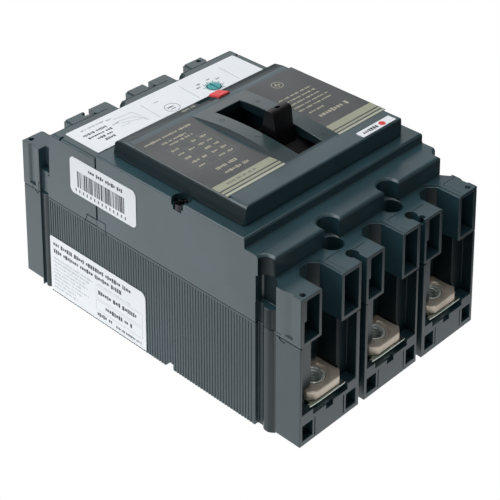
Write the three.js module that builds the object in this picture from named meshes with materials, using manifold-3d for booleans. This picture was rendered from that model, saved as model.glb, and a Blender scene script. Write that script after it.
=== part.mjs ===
// Three-pole moulded case circuit breaker, fixed, front connected, in millimetres.
// Origin at the centre of the rear mounting face, +Z out of the front, +Y to the line end,
// +X across the poles.
import * as THREE from 'three';
import { mergeVertices } from 'three/addons/utils/BufferGeometryUtils.js';
import Module from 'manifold-3d';

const about = (centre, half) => [centre - half, centre + half];
const flip = ([low, high]) => [-high, -low];

// ---- driving dimensions
const HALF_W = 52.5;             // case half width
const HALF_L = 80.5;             // case half length, over the terminal blocks
const WALL = 2.5;                // side wall of the case
const SPLIT = 45;                // rim of the rear base
const GAP = 0.3;                 // joint clearance between mouldings
const UPPER_Z = SPLIT + GAP;     // underside of the upper mouldings
const COVER_TOP = 78;            // shoulder plane of the main cover
const TRIP_TOP = 76.5;           // front plane of the trip unit housing
const TRIP_Y = -32.3;            // joint plane between trip unit and main cover
const FRONT_TOP = 86;            // raised front cover
const FRONT_HALF_W = 47.2;
const FRONT_Y0 = -27;
const FRONT_Y1 = 46.7;
const LOBE_TOP = 65.5;           // top plane of the terminal blocks
const CHIN = 66;                 // |y| of the inner end wall of the terminal chambers
const THROAT = [-8.6, 5.6];      // x of the chamber throat, from the pole centre line
const POLE_PITCH = 35.6;
const SLOT_X = 17.6;             // centre of the slots between poles
const SLOT_HALF = 1.6;           // their half width
const LINE_SCREW_Y = 64.3;       // mounting screw channels
const LOAD_SCREW_Y = LINE_SCREW_Y - 125;
const HOLE_Y = 71.6;             // |y| of the connection hole in the pads
const PAD_TOP = 21;
const PIVOT_Y = 17;              // toggle handle pivot
const PIVOT_Z = 50;
const MECH_X = -1.8;             // centre plane of the operating mechanism
const BAR_Y = 8;                 // crossbar axis
const BAR_Z = 32;
const TRIP_BAR_Y = -45;
const TRIP_BAR_Z = 60;
const DIAL_X = -22.6;
const DIAL_Y = -40.6;
const BUTTON_X = -8;
const COVER_SCREW_X = 50.2;      // centre of the notch in the shoulder
const COVER_SCREW_Y = 15.9;
const HEAD_X = COVER_SCREW_X - 0.3;
const SHANK_X = COVER_SCREW_X - 1.8;

// Cutters run out past the case to these
const PAST_SIDE = 53;
const PAST_END = 81;

const LINE = 1;                  // sign of y at each end
const LOAD = -1;
const SIDES = [1, -1];           // sign of x

// Each pole: centre line, then x ranges of its block, its contact and arc chamber in the base,
// and the mouth of its terminal chamber
const OUTER_POLE = {
  x: POLE_PITCH,
  block: [SLOT_X + SLOT_HALF, HALF_W],
  chamber: [SLOT_X + SLOT_HALF, HALF_W - WALL],
  mouth: [SLOT_X + SLOT_HALF + 1.9, HALF_W - 1.3],
};
const POLES = [
  OUTER_POLE,
  { x: 0, block: about(0, 16), chamber: about(0, 15.8), mouth: about(0, 14.7) },
  {
    x: -OUTER_POLE.x,
    block: flip(OUTER_POLE.block),
    chamber: flip(OUTER_POLE.chamber),
    mouth: flip(OUTER_POLE.mouth),
  },
];

const FINISHES = {
  case: { color: 0x4b555c, roughness: 0.55, metalness: 0 },
  cover: { color: 0x48525a, roughness: 0.5, metalness: 0 },
  black: { color: 0x1f1a1c, roughness: 0.5, metalness: 0 },
  label: { color: 0xeef2f8, roughness: 0.5, metalness: 0 },
  copper: { color: 0x9a8f80, roughness: 0.35, metalness: 1 },
  steel: { color: 0xb9bdbd, roughness: 0.3, metalness: 1 },
  red: { color: 0xe0505a, roughness: 0.45, metalness: 0 },
  teal: { color: 0x4fa3a8, roughness: 0.5, metalness: 0 },
  inner: { color: 0x2d3438, roughness: 0.6, metalness: 0 },
  fibre: { color: 0x8a6f5a, roughness: 0.8, metalness: 0 },
  braid: { color: 0xb87850, roughness: 0.5, metalness: 1 },
  screw: { color: 0x1c1e20, roughness: 0.4, metalness: 1 },
};

// ---- solids; ranges are [from, to] pairs
const wasm = await Module();
wasm.setup();

function solid(geometry) {
  geometry.deleteAttribute('normal');
  geometry.deleteAttribute('uv');
  const merged = mergeVertices(geometry, 1e-4);
  return new wasm.Manifold(new wasm.Mesh({
    numProp: 3,
    vertProperties: new Float32Array(merged.attributes.position.array),
    triVerts: new Uint32Array(merged.index.array),
  }));
}

const part = new THREE.Group();
function add(name, manifold, finish) {
  const { vertProperties, triVerts } = manifold.getMesh();
  const geometry = new THREE.BufferGeometry();
  const positions = new THREE.BufferAttribute(new Float32Array(vertProperties), 3);
  geometry.setAttribute('position', positions);
  geometry.setIndex(new THREE.BufferAttribute(new Uint32Array(triVerts), 1));
  geometry.computeVertexNormals();
  const mesh = new THREE.Mesh(geometry, new THREE.MeshStandardMaterial(FINISHES[finish]));
  mesh.name = name;
  part.add(mesh);
}

// The ends of each range may come in either order
function box([x0, x1], [y0, y1], [z0, z1]) {
  const size = [x1 - x0, y1 - y0, z1 - z0].map(Math.abs);
  const geometry = new THREE.BoxGeometry(...size);
  return solid(geometry.translate((x0 + x1) / 2, (y0 + y1) / 2, (z0 + z1) / 2));
}

function extrude(points, [from, to], placement) {
  const shape = new THREE.Shape(points.map(([u, v]) => new THREE.Vector2(u, v)));
  const geometry = new THREE.ExtrudeGeometry(shape, { depth: to - from, bevelEnabled: false });
  return solid(geometry.applyMatrix4(new THREE.Matrix4().set(...placement)));
}
// prisms: along Z from [x, y] points, along X from [y, z], along Y from [x, z]
const prismZ = (points, zs) =>
  extrude(points, zs, [1, 0, 0, 0, 0, 1, 0, 0, 0, 0, 1, zs[0], 0, 0, 0, 1]);
const prismX = (points, xs) =>
  extrude(points, xs, [0, 0, 1, xs[0], 1, 0, 0, 0, 0, 1, 0, 0, 0, 0, 0, 1]);
const prismY = (points, ys) =>
  extrude(points, ys, [1, 0, 0, 0, 0, 0, -1, ys[1], 0, 1, 0, 0, 0, 0, 0, 1]);

function cylinderZ(x, y, radius, [z0, z1], segments, topRadius = radius) {
  const geometry = new THREE.CylinderGeometry(topRadius, radius, z1 - z0, segments);
  return solid(geometry.rotateX(Math.PI / 2).translate(x, y, (z0 + z1) / 2));
}
function cylinderX(y, z, radius, [x0, x1], segments) {
  const geometry = new THREE.CylinderGeometry(radius, radius, x1 - x0, segments);
  return solid(geometry.rotateZ(Math.PI / 2).translate((x0 + x1) / 2, y, z));
}

const join = (first, ...rest) => rest.reduce((body, other) => body.add(other), first);
const cut = (first, ...rest) => rest.reduce((body, other) => body.subtract(other), first);

// ---- outlines
function arc(cy, cz, radius, start, end, steps) {
  return Array.from({ length: steps + 1 }, (_, i) => {
    const angle = start + (end - start) * i / steps;
    return [cy + radius * Math.cos(angle), cz + radius * Math.sin(angle)];
  });
}
// closes a half outline by its mirror image in the plane x = centre
const mirrored = (half, centre = 0, end = 1) => [
  ...half.map(([dx, v]) => [centre + dx, end * v]),
  ...half.toReversed().map(([dx, v]) => [centre - dx, end * v]),
];
// moves an outline drawn at +X, +Y to another side or end
const placed = (points, side, end = 1) => points.map(([x, y]) => [side * x, end * y]);

// box given at the line end, placed at either end; openEnd runs on out past the case
const endBox = (end, xs, [y0, y1], zs) => box(xs, [end * y0, end * y1], zs);
const openEnd = (end, xs, y, zs) => endBox(end, xs, [y, PAST_END], zs);

// [x, y] of the half-round column in its side channel near the line end
const COLUMN = [
  [50.8, 57.6], [50.8, 60.1], [51.6, 60.9], [52.2, 62.0],
  [52.2, 63.9], [51.6, 65.0], [50.8, 65.8], [50.8, 68.1],
];

// slots between the poles, with round inner ends
const endSlots = (end, zs) => SIDES.flatMap(side => [
  openEnd(end, about(side * SLOT_X, SLOT_HALF), 74.5, zs),
  cylinderZ(side * SLOT_X, end * 74.5, 2.65, zs, 16),
]);

// ---- rear base
// [x, y] of its +X side, from the load end to the line end
const BASE_SIDE = [
  [HALF_W, -HALF_L], [HALF_W, -69.6], [51.0, -69.6], [51.5, -68.9], [52.2, -67.6],
  [51.9, -66.2], [51.0, -65.2], [51.0, -64], [HALF_W, -64],
  [HALF_W, 57.6], ...COLUMN, [HALF_W, 68.1], [HALF_W, HALF_L],
];
const BASE_CUT_TOP = SPLIT + 1;

function baseTerminalCuts({ x, mouth: [low, high] }, end) {
  const sillPocketZ = [4.8, 11.4];
  const sillSlitZ = [4, 12];
  return [
    openEnd(end, [low, high], 75.6, [16, BASE_CUT_TOP]), // mouth
    endBox(end, [x + THROAT[0], x + THROAT[1]], [CHIN, 76], [16, BASE_CUT_TOP]),
    openEnd(end, about(x, 9.7), 59, [13.5, PAD_TOP + 0.4]), // seat of pad, nut and clip
    openEnd(end, [high - 5.7, high], 76.8, sillPocketZ),
    openEnd(end, [low, low + 5.5], 76.8, sillPocketZ),
    openEnd(end, [high - 7.2, high - 6.7], 79.3, sillSlitZ),
    openEnd(end, [low + 6.7, low + 7.2], 79.3, sillSlitZ),
    openEnd(end, [x - 1.5, x + 2.5], 79.2, [11.5, 17]),
  ];
}

function baseCase() {
  const screws = SIDES.flatMap(side => [LINE_SCREW_Y, LOAD_SCREW_Y].map(y => [side * SLOT_X, y]));
  const fullWidth = about(0, PAST_SIDE);
  let body = prismZ(mirrored(BASE_SIDE), [0, SPLIT]);
  // shallow recesses across the rear face at both ends
  body = cut(body,
    box(fullWidth, [66.2, PAST_END], [-1, 2.6]),
    box(fullWidth, [-PAST_END, -70], [-1, 2.6]));
  for (const pole of POLES) {
    // the screw columns are left standing at the corners of the chamber
    const columns = screws.map(([x, y]) => cylinderZ(x, y, 6.2, [0, SPLIT + 2], 20));
    body = cut(body,
      cut(box(pole.chamber, [-60, 62], [5, BASE_CUT_TOP]), ...columns),
      ...baseTerminalCuts(pole, LINE),
      ...baseTerminalCuts(pole, LOAD));
  }
  for (const end of [LINE, LOAD]) body = cut(body, ...endSlots(end, [-1, BASE_CUT_TOP]));
  for (const [x, y] of screws) {
    body = cut(body,
      cylinderZ(x, y, 2.7, [-1, 32], 16),
      cylinderZ(x, y, 4.5, [30, BASE_CUT_TOP], 20));
  }
  const bearing = 4.4; // radius
  for (const side of SIDES) {
    const wallX = about(side * SLOT_X, 2.5);
    body = cut(body,
      // crossbar bearing, open to the split plane, in the wall between poles
      box(wallX, about(BAR_Y, bearing), [BAR_Z - 0.2, BASE_CUT_TOP]),
      cylinderX(BAR_Y, BAR_Z, bearing, wallX, 20),
      // notch in the rear edge
      box([side * 49, side * PAST_SIDE], [8, 12], [-1, 2.5]));
  }
  return body;
}

// ---- terminal end common to both upper mouldings
// [x from pole, y], one half of the throat in the block and of the shallow step round it
const UPPER_THROAT = [[5.65, PAST_END], [5.65, 69.3], [2.15, 65.9]];
const UPPER_STEP = [[6.6, PAST_END], [6.6, 68.9], [2.5, 64.95]];
// [x, y] of the notch in the side wall
const SIDE_NOTCH = [
  [53.5, 71.9], [53.5, 76.5], [52.5, 76.5], [51.8, 76.0], [51.8, 73.7], [52.5, 71.9],
];

function shapeUpperEnd(moulding, end) {
  const through = [UPPER_Z - 1, LOBE_TOP + 1];
  const pocketZ = [UPPER_Z + 1.4, LOBE_TOP - 1.4];
  let body = moulding;
  for (const { x, block: [low, high] } of POLES) {
    const lowOuter = low === -HALF_W;
    const highOuter = high === HALF_W;
    const pocketLow = low + (lowOuter ? 1.9 : 1.3);
    const pocketHigh = high - (highOuter ? 1.9 : 1.3);
    body = cut(body,
      prismZ(mirrored(UPPER_THROAT, x, end), through),
      prismZ(mirrored(UPPER_STEP, x, end), [LOBE_TOP - 0.45, LOBE_TOP + 1]),
      openEnd(end, [pocketLow, x - 6.9], lowOuter ? 71 : 67.2, pocketZ),
      openEnd(end, [x + 6.9, pocketHigh], highOuter ? 71 : 67.2, pocketZ));
    // L-shaped stiffening tongue in the pocket on the pole's +X side
    const root = high - (highOuter ? 1.7 : 1.1);
    const tip = high - (highOuter ? 4.6 : 4.2);
    const tongueY = [78.2, 79.2];
    body = join(body,
      endBox(end, [tip, root], tongueY, [54, LOBE_TOP - 1.2]),
      endBox(end, [tip + 1.4, root], tongueY, [UPPER_Z + 1.2, 54.2]));
  }
  body = cut(body, ...endSlots(end, through));
  for (const x of [49.3, -49.3, -19.9 * end]) {
    body = cut(body, cylinderZ(x, end * 78.3, 1.15, [LOBE_TOP - 3, LOBE_TOP + 1], 12));
  }
  return cut(body,
    ...SIDES.map(side => prismZ(placed(SIDE_NOTCH, side, end), [47, LOBE_TOP + 1])));
}

// ---- main cover, over the contacts and the line terminals
const INSIDE_X = about(0, HALF_W - WALL);
const MAIN_PROFILE = [ // [y, z]
  [TRIP_Y, UPPER_Z], [HALF_L, UPPER_Z], [HALF_L, LOBE_TOP], [64.3, LOBE_TOP], [64.3, 72.7],
  [63.9, 73.5], [63.2, 73.8], [52.3, 73.8], [52.0, 74.2], [52.0, 77.2],
  [51.4, COVER_TOP], [TRIP_Y, COVER_TOP],
];
const SIDE_POCKET = [ // [x, y]
  [53.5, 57.8], [53.5, 68.1], [51.2, 68.1], [48.6, 64.3], [48.6, 58.4], [49.2, 57.8],
];
const COLUMN_CHANNEL = [[53.5, 68.1], [53.5, 57.6], ...COLUMN]; // [x, y]

function mainCover() {
  let body = prismX(MAIN_PROFILE, about(0, HALF_W));
  body = cut(body,
    // contact space, open to the base and to the trip unit
    box(INSIDE_X, [TRIP_Y - 1, 56], [UPPER_Z - 1, 71]),
    box(INSIDE_X, [TRIP_Y - 1, 49.5], [70, COVER_TOP - 2.6]),
    // well for the mechanism, passage for the trip button
    box(about(MECH_X, 15.5), [-12, 45.5], [74, COVER_TOP + 1]),
    box(about(BUTTON_X, 4), [-27.5, -18], [74, COVER_TOP + 1]));
  body = shapeUpperEnd(body, LINE);
  for (const side of SIDES) {
    const notchZ = [73.6, 80];
    // the pocket stops level with the top of the terminal blocks
    const pocket = prismZ(placed(SIDE_POCKET, side), [53.6, LOBE_TOP + 0.3])
      .intersect(box([-60, 60], [57, 70], [50, LOBE_TOP]));
    body = cut(body,
      // screw channel, and a wider one set back from it through the step above
      cylinderZ(side * SLOT_X, LINE_SCREW_Y, 4.5, [UPPER_Z - 1, LOBE_TOP + 1], 24),
      cylinderZ(side * SLOT_X, LINE_SCREW_Y - 1.7, 4.6, [LOBE_TOP, 80], 24),
      // side channel: round notch through the step, pocket below, column at the bottom
      cylinderZ(side * 52.8, 62.9, 4, [LOBE_TOP - 0.2, 80], 28),
      pocket,
      prismZ(placed(COLUMN_CHANNEL, side), [UPPER_Z - 1, 54]));
    // boss, notch and shank hole of the cover screw
    body = body.add(box([side * 45.5, side * 50.2], about(COVER_SCREW_Y, 4), [58, 75.6]));
    body = cut(body,
      cylinderZ(side * COVER_SCREW_X, COVER_SCREW_Y, 3.3, notchZ, 20),
      box([side * COVER_SCREW_X, side * PAST_SIDE], about(COVER_SCREW_Y, 1.4), notchZ),
      cylinderZ(side * SHANK_X, COVER_SCREW_Y, 1.7, [57, 74], 12));
  }
  return body;
}

// ---- trip unit housing, over the load terminals
const HOUSING_Y = TRIP_Y - GAP;
const HOUSING_PROFILE = [ // [y, z]
  [-HALF_L, UPPER_Z], [HOUSING_Y, UPPER_Z], [HOUSING_Y, TRIP_TOP], [-59.2, TRIP_TOP],
  [-61.2, 75.6], [-62.2, 73.6], [-62.4, 71.5], [-62.4, LOBE_TOP], [-HALF_L, LOBE_TOP],
];
const dialHole = () => cylinderZ(DIAL_X, DIAL_Y, 3.4, [70, 80], 20);

function tripUnitHousing() {
  let body = prismX(HOUSING_PROFILE, about(0, HALF_W));
  body = cut(body, box(INSIDE_X, [-59.4, HOUSING_Y + 1], [UPPER_Z - 1, TRIP_TOP - 2.4]));
  body = shapeUpperEnd(body, LOAD);
  for (const side of SIDES) {
    body = cut(body,
      cylinderZ(side * SLOT_X, LOAD_SCREW_Y, 4.5, [UPPER_Z - 1, 80], 24),
      // side channel, deeper in its upper part
      box([side * 48.6, side * PAST_SIDE], [-69.6, -62.4], [55.5, 70]),
      box([side * 51, side * PAST_SIDE], [-69.6, -64], [UPPER_Z - 1, 56]));
  }
  return cut(body, dialHole());
}

// ---- raised front cover
const FRONT_Z = COVER_TOP + GAP;
const FRONT_PLAN = [ // [x, y]
  [-FRONT_HALF_W, FRONT_Y0], [FRONT_HALF_W, FRONT_Y0], [FRONT_HALF_W, FRONT_Y1 - 1],
  [FRONT_HALF_W - 1, FRONT_Y1], [-FRONT_HALF_W + 3, FRONT_Y1],
  [-FRONT_HALF_W + 0.9, FRONT_Y1 - 0.9], [-FRONT_HALF_W, FRONT_Y1 - 3],
];
const FRONT_PROFILE = [ // [y, z]
  [FRONT_Y0, FRONT_Z], [FRONT_Y1, FRONT_Z], [FRONT_Y1, 85], [FRONT_Y1 - 0.3, 85.7],
  [FRONT_Y1 - 1, FRONT_TOP], [-19.4, FRONT_TOP], [-26.2, 84.2], [FRONT_Y0, 83.4],
];
const FRONT_HOLLOW = [ // [y, z]
  [FRONT_Y0 + 2, FRONT_Z - 1], [FRONT_Y1 - 2, FRONT_Z - 1], [FRONT_Y1 - 2, 83.5],
  [-18.5, 83.5], [FRONT_Y0 + 2, 81.8],
];
const WINDOW_RECESS = [[-25.6, 83.55], [-19.9, 85.05], [-19.9, 90], [-25.6, 90]]; // [y, z]
const CROWN_Y0 = -17;
const CROWN_Y1 = 37.4;
const CROWN_TOP = 88;
// [x from the mechanism plane, z], one half of the crown's section
const CROWN_FLANK = [[14.4, 88.5], [14.4, 88.1], [15.7, FRONT_TOP], [15.7, 84.5]];

// convex escutcheon round the handle opening, with sloped flanks
function crown() {
  const rise = CROWN_TOP - FRONT_TOP;
  const halfChord = (CROWN_Y1 - CROWN_Y0) / 2;
  const radius = (halfChord ** 2 + rise ** 2) / (2 * rise);
  const [start, end] = about(Math.PI / 2, Math.asin(halfChord / radius));
  const top = arc((CROWN_Y0 + CROWN_Y1) / 2, CROWN_TOP - radius, radius, start, end, 14);
  return prismX([...top, [CROWN_Y0, 85], [CROWN_Y1, 85]], about(MECH_X, 15.8))
    .intersect(prismY(mirrored(CROWN_FLANK, MECH_X), [-20, 40]));
}

function frontCover() {
  const shell = prismX(FRONT_PROFILE, about(0, FRONT_HALF_W))
    .intersect(prismZ(FRONT_PLAN, [70, 90]))
    .subtract(prismX(FRONT_HOLLOW, about(0, FRONT_HALF_W - 2)));
  return cut(shell.add(crown()),
    box([-8.7, 5.5], [-10.7, 35.6], [80, 90]), // handle opening
    box(about(BUTTON_X, 3.3), [-26.2, -19], [78, 90]), // trip button opening
    prismX(WINDOW_RECESS, [-4.4, 3.4]));
}

// cap in the sloped band, stem down to the trip bar arm
function tripButton() {
  const cap = [[-25.9, 80.5], [-19.3, 80.5], [-19.3, 86.2], [-25.9, 84.5]]; // [y, z]
  return join(
    prismX(cap, about(BUTTON_X, 3)),
    box(about(BUTTON_X, 1.6), [-23.6, -20.4], [64.2, 81]));
}

// slotted disc in the trip unit front, with its shaft
const adjustmentDial = () => cut(
  join(
    cylinderZ(DIAL_X, DIAL_Y, 3, [75.2, 77], 24),
    cylinderZ(DIAL_X, DIAL_Y, 1.5, [68, 75.4], 12)),
  box(about(DIAL_X, 0.45), about(DIAL_Y, 2.6), [76.3, 78]));

// ---- printed plates and stickers: thin cards just clear of the surface they lie on
const CARD_LIFT = 0.02;
const BADGE = [ // [x, y]
  [-22.2, 41.6], [-22.2, 45.9], [-42.1, 45.9], [-42.6, 45.4], [-42.6, 42.2], [-42.0, 41.6],
];
const STICKER_X = [HALF_W + CARD_LIFT, HALF_W + 0.22];

const tripSettingLabel = () => cut(
  box([-49, 49], [-55.6, -34.4], [TRIP_TOP + CARD_LIFT, TRIP_TOP + 0.3]),
  dialHole());
const badgePlate = () => prismZ(BADGE, [FRONT_TOP + CARD_LIFT, FRONT_TOP + 0.35]);

// ---- terminals, captive nuts and spring clips
const PAD_T = 3.5;
const PAD_HALF_W = 9.2;
const PAD_END = 79.6;
const LAND = 0.4;          // how far the connection face stands proud of the bar
const LAND_FIT = 0.3;      // its clearance in the throat
const TERMINAL_SHIFT = 0.3; // terminals lie this far to +X of the pole centre line

function terminal(pole, end) {
  const x = pole.x + TERMINAL_SHIFT;
  const inner = end === LINE ? 44 : 30; // |y| of the inner end
  const plan = mirrored([
    [PAD_HALF_W, inner], [PAD_HALF_W, PAD_END - 2.6], [PAD_HALF_W - 2.9, PAD_END],
  ], x, end);
  // the connection face stands proud only where the chamber is open above
  const throatX = [pole.x + THROAT[0] + LAND_FIT, pole.x + THROAT[1] - LAND_FIT];
  const openArea = join(
    endBox(end, throatX, [CHIN + LAND_FIT, 77], [19, 22]),
    openEnd(end, about(x, 10), 75.9, [19, 22]));
  let body = prismZ(plan, [PAD_TOP - PAD_T, PAD_TOP - LAND])
    .add(prismZ(plan, [PAD_TOP - 1, PAD_TOP]).intersect(openArea));
  // narrow where the bar passes between the screw columns
  for (const side of SIDES) {
    body = cut(body, endBox(end, [x + side * 6, x + side * 12], [inner - 1, 58], [10, 30]));
  }
  body = cut(body,
    cylinderZ(x, end * HOLE_Y, 4.4, [10, 30], 24),
    cylinderZ(x, end * HOLE_Y, 5, [PAD_TOP - 0.7, PAD_TOP + 1], 24, 6.6));
  if (end === LOAD) return body;
  return join(body, // contact nose
    box(about(x, 4), [36.5, 44.5], [PAD_TOP - PAD_T, PAD_TOP]),
    box(about(x, 3.2), [38, 44], [PAD_TOP - 0.1, PAD_TOP + 1.8]));
}

// square nut under the pad, collar up in the hole
const captiveNut = (x, y) => cut(
  join(
    box(about(x, 6.3), about(y, 6.3), [14.2, 16.5]),
    cylinderZ(x, y, 4.05, [16.4, 19.6], 24)),
  cylinderZ(x, y, 3.2, [10, 30], 20));

// thin plate that holds the nut
const nutClip = (x, end) => cut(
  endBox(end, about(x, 9), [61.5, 80.1], [16.75, 17.25]),
  cylinderZ(x, end * HOLE_Y, 4.5, [10, 30], 20));

// ---- contacts
const OPEN_ANGLE = 10 * Math.PI / 180; // contact arm above closed, at rest
const ARM_CLOSED = [ // [y, z]
  [-5, 29.2], [38, 26.6], [38.0, 22.9], [45.0, 22.9],
  [46, 26.4], [45, 29.8], [14, 36.2], [-5, 35.0],
];
const BRAID = [ // [y, z], from the trip unit conductor to the arm tail and back
  [-30, 21.4], [-24, 21.4], [-17, 22.4], [-11, 25.5], [-6.1, 29.0],
  [-6.1, 31.4], [-12, 28.4], [-18, 25.0], [-24, 23.8], [-30, 23.8],
];

function contactCrossbar() {
  let body = cylinderX(BAR_Y, BAR_Z, 4, [-47, 47], 20);
  for (const { x } of POLES) {
    body = body.add(cylinderX(BAR_Y, BAR_Z, 9, about(x, 10.5), 20));
    body = cut(body, box(about(x, 3.5), about(BAR_Y, 12), [BAR_Z - 6.4, BAR_Z + 12]));
  }
  return body;
}

function movingContact(x) {
  const cos = Math.cos(OPEN_ANGLE);
  const sin = Math.sin(OPEN_ANGLE);
  const open = ARM_CLOSED.map(([y, z]) => [
    BAR_Y + (y - BAR_Y) * cos - (z - BAR_Z) * sin,
    BAR_Z + (y - BAR_Y) * sin + (z - BAR_Z) * cos,
  ]);
  return prismX(open, about(x, 3.1));
}

// notched splitter plates between two insulating cheeks
function arcChute(x) {
  const cheek = side => box([x + side * 9.6, x + side * 11], [48.6, 60.3], [23, 44]);
  let body = join(cheek(-1), cheek(1));
  for (let i = 0; i < 7; i++) {
    const z = 24 + i * 2.8;
    body = body.add(cut(
      box(about(x, 9.8), [49.2, 57.2], [z, z + 1.1]),
      box(about(x, 2.2), [48, 52.5], [z - 0.5, z + 1.6])));
  }
  return body;
}

// ---- trip unit
const bimetal = x => join(
  box([x - 4, x + 1], [-41.2, -40.2], [21.4, 50]),
  box([x - 4, x + 1], [-41.2, -36], [21.4, 22.6]));

const magnetYoke = x => join(
  box([x - 9.2, x + 9.8], [-55, -45], [13.6, 16.9]),
  box([x - 9.2, x - 6.4], [-55, -45], [13.6, 24.6]),
  box([x + 7, x + 9.8], [-55, -45], [13.6, 24.6]));

const armature = x => join(
  box(about(x, 8.5), [-54.5, -41.8], [26, 27.4]),
  box([x + 2, x + 5], [-43.2, -41.8], [26, 52]));

// bar with a finger down to each pole and an arm out to the trip button
const tripBar = () => join(
  cylinderX(TRIP_BAR_Y, TRIP_BAR_Z, 3, [-46, 46], 16),
  ...POLES.map(({ x }) => box([x - 4, x + 5], [-46.2, -44.4], [44, 59])),
  box(about(BUTTON_X, 1.6), [-45, -19.5], [61, 63.6]),
  box(about(BUTTON_X, 1.6), [-46, -43], [59, 63.6]));

// ---- operating mechanism
const PLATE = [ // [y, z]
  [-17.5, 45.6], [42, 45.6], [42, 60], [30, 72.5], [-8, 74.4], [-17.5, 74.4],
];
const GRIP = [ // [y, z]
  [12.0, 81.6], [13.0, 86.0], [14.6, 95.6], [15.2, 96.7], [16.2, 97],
  [18.2, 97], [19.1, 96.6], [19.6, 95.6], [21.6, 86.0], [23.2, 81.6],
];
const CRADLE = [ // [y, z]
  [-7.5, 53], [2, 52.5], [11, 57], [11, 60], [0, 62], [-6, 66.5], [-9.5, 66.5], [-8, 59],
];
const CRADLE_PIVOT = [-4, 56]; // [y, z]
const LATCH = [ // [y, z]
  [-15.6, 53.5], [-12.6, 53.5], [-12.6, 64.8], [-11.2, 66.6], [-11.2, 73], [-15.6, 73],
];
const DRIVE_LINK = [[5.5, 41.5], [10.5, 41.5], [9.8, 56], [6.2, 56]]; // [y, z]

// side plate with two feet turned outward to x = footEnd
function mechanismPlate(side, footEnd) {
  const centre = MECH_X + side * 13.3;
  const footX = [MECH_X + side * 12.6, footEnd];
  return cut(
    join(
      prismX(PLATE, about(centre, 0.8)),
      box(footX, [-8, -2], [45.5, 47]),
      box(footX, [34, 40], [45.5, 47])),
    cylinderX(PIVOT_Y, PIVOT_Z, 1.9, about(centre, 1.8), 12));
}

// fork that carries the handle, on its pivot pin, trimmed to fit under the dust shield
function handleFork() {
  const cheek = side => box([MECH_X + side * 8.8, MECH_X + side * 10.3], [12, 22], [46, 77.5]);
  return join(
    cheek(-1),
    cheek(1),
    box(about(MECH_X, 10.3), [12, 22], [76, 77.5]),
    cylinderX(PIVOT_Y, PIVOT_Z, 1.6, about(MECH_X, 14.6), 12),
  ).intersect(cylinderX(PIVOT_Y, PIVOT_Z, 28.4, about(MECH_X, 20), 48));
}

// grip and neck on a curved dust shield
function toggleHandle() {
  const radius = 33;
  const [start, end] = about(Math.PI / 2, 26 * Math.PI / 180);
  const shield = [
    ...arc(PIVOT_Y, PIVOT_Z, radius, start, end, 14),
    ...arc(PIVOT_Y, PIVOT_Z, radius - 1.9, end, start, 14),
  ];
  return cut(
    join(
      prismX(shield, about(MECH_X, 11)),
      box(about(MECH_X, 5), [13, 21], [78, 82.3]),
      prismX(GRIP, [-6.9, 3.2])),
    cylinderZ(MECH_X, 16.6, 0.8, [94.5, 98], 12));
}

// tension spring from the fork bridge, drawn as its envelope
function mainSpring(side) {
  const geometry = new THREE.CylinderGeometry(1.7, 1.7, 20, 12);
  geometry.rotateX(Math.PI / 2 - 0.28);
  return solid(geometry.translate(MECH_X + side * 6.2, 21.5, 65.2));
}

const cradle = () => cut(
  prismX(CRADLE, about(MECH_X, 2.4)),
  cylinderX(...CRADLE_PIVOT, 1.3, about(MECH_X, 4), 10));

// under the trip button cap, drawn as a tube
const buttonSpring = () => cut(
  cylinderZ(BUTTON_X, -22, 3, [72.4, 80.2], 16),
  cylinderZ(BUTTON_X, -22, 2.4, [70, 82], 16));

// cross-slotted head in the shoulder notch
function coverScrew(side) {
  const x = side * HEAD_X;
  const slotZ = [75.4, 77];
  return cut(
    join(
      cylinderZ(x, COVER_SCREW_Y, 2.7, [73.9, 76.4], 20),
      cylinderZ(side * SHANK_X, COVER_SCREW_Y, 1.35, [60, 74], 12)),
    box(about(x, 1.7), about(COVER_SCREW_Y, 0.35), slotZ),
    box(about(x, 0.35), about(COVER_SCREW_Y, 1.7), slotZ));
}

// ---- assembly
add('base_case', baseCase(), 'case');
add('main_cover', mainCover(), 'cover');
add('trip_unit_housing', tripUnitHousing(), 'case');
add('front_cover', frontCover(), 'cover');
add('trip_button', tripButton(), 'red');
add('adjustment_dial', adjustmentDial(), 'teal');
add('trip_setting_label', tripSettingLabel(), 'label');
add('badge_plate', badgePlate(), 'label');

POLES.forEach((pole, i) => {
  const x = pole.x + TERMINAL_SHIFT;
  for (const [name, end] of [['line', LINE], ['load', LOAD]]) {
    add(`${name}_terminal_${i + 1}`, terminal(pole, end), 'copper');
    add(`${name}_nut_${i + 1}`, captiveNut(x, end * HOLE_Y), 'steel');
    add(`${name}_nut_clip_${i + 1}`, nutClip(x, end), 'steel');
  }
});

add('contact_crossbar', contactCrossbar(), 'inner');
POLES.forEach(({ x }, i) => {
  add(`moving_contact_${i + 1}`, movingContact(x), 'copper');
  add(`flexible_braid_${i + 1}`, prismX(BRAID, about(x, 3)), 'braid');
  add(`arc_chute_${i + 1}`, arcChute(x), 'fibre');
  add(`bimetal_${i + 1}`, bimetal(x), 'steel');
  add(`magnet_yoke_${i + 1}`, magnetYoke(x), 'steel');
  add(`armature_${i + 1}`, armature(x), 'steel');
});
add('trip_bar', tripBar(), 'inner');

// plates and springs named left are at -X
add('mechanism_plate_left', mechanismPlate(-1, -19), 'steel');
add('mechanism_plate_right', mechanismPlate(1, 18.6), 'steel');
add('handle_fork', handleFork(), 'steel');
add('toggle_handle', toggleHandle(), 'black');
add('main_spring_left', mainSpring(-1), 'steel');
add('main_spring_right', mainSpring(1), 'steel');
add('cradle', cradle(), 'steel');
add('latch_lever', prismX(LATCH, [MECH_X - 2.6, MECH_X + 3.2]), 'steel');
add('drive_link', prismX(DRIVE_LINK, [4.2, 5.8]), 'steel');
add('button_spring', buttonSpring(), 'steel');

// the cover screw named left is at +X
add('cover_screw_left', coverScrew(1), 'screw');
add('cover_screw_right', coverScrew(-1), 'screw');
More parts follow.
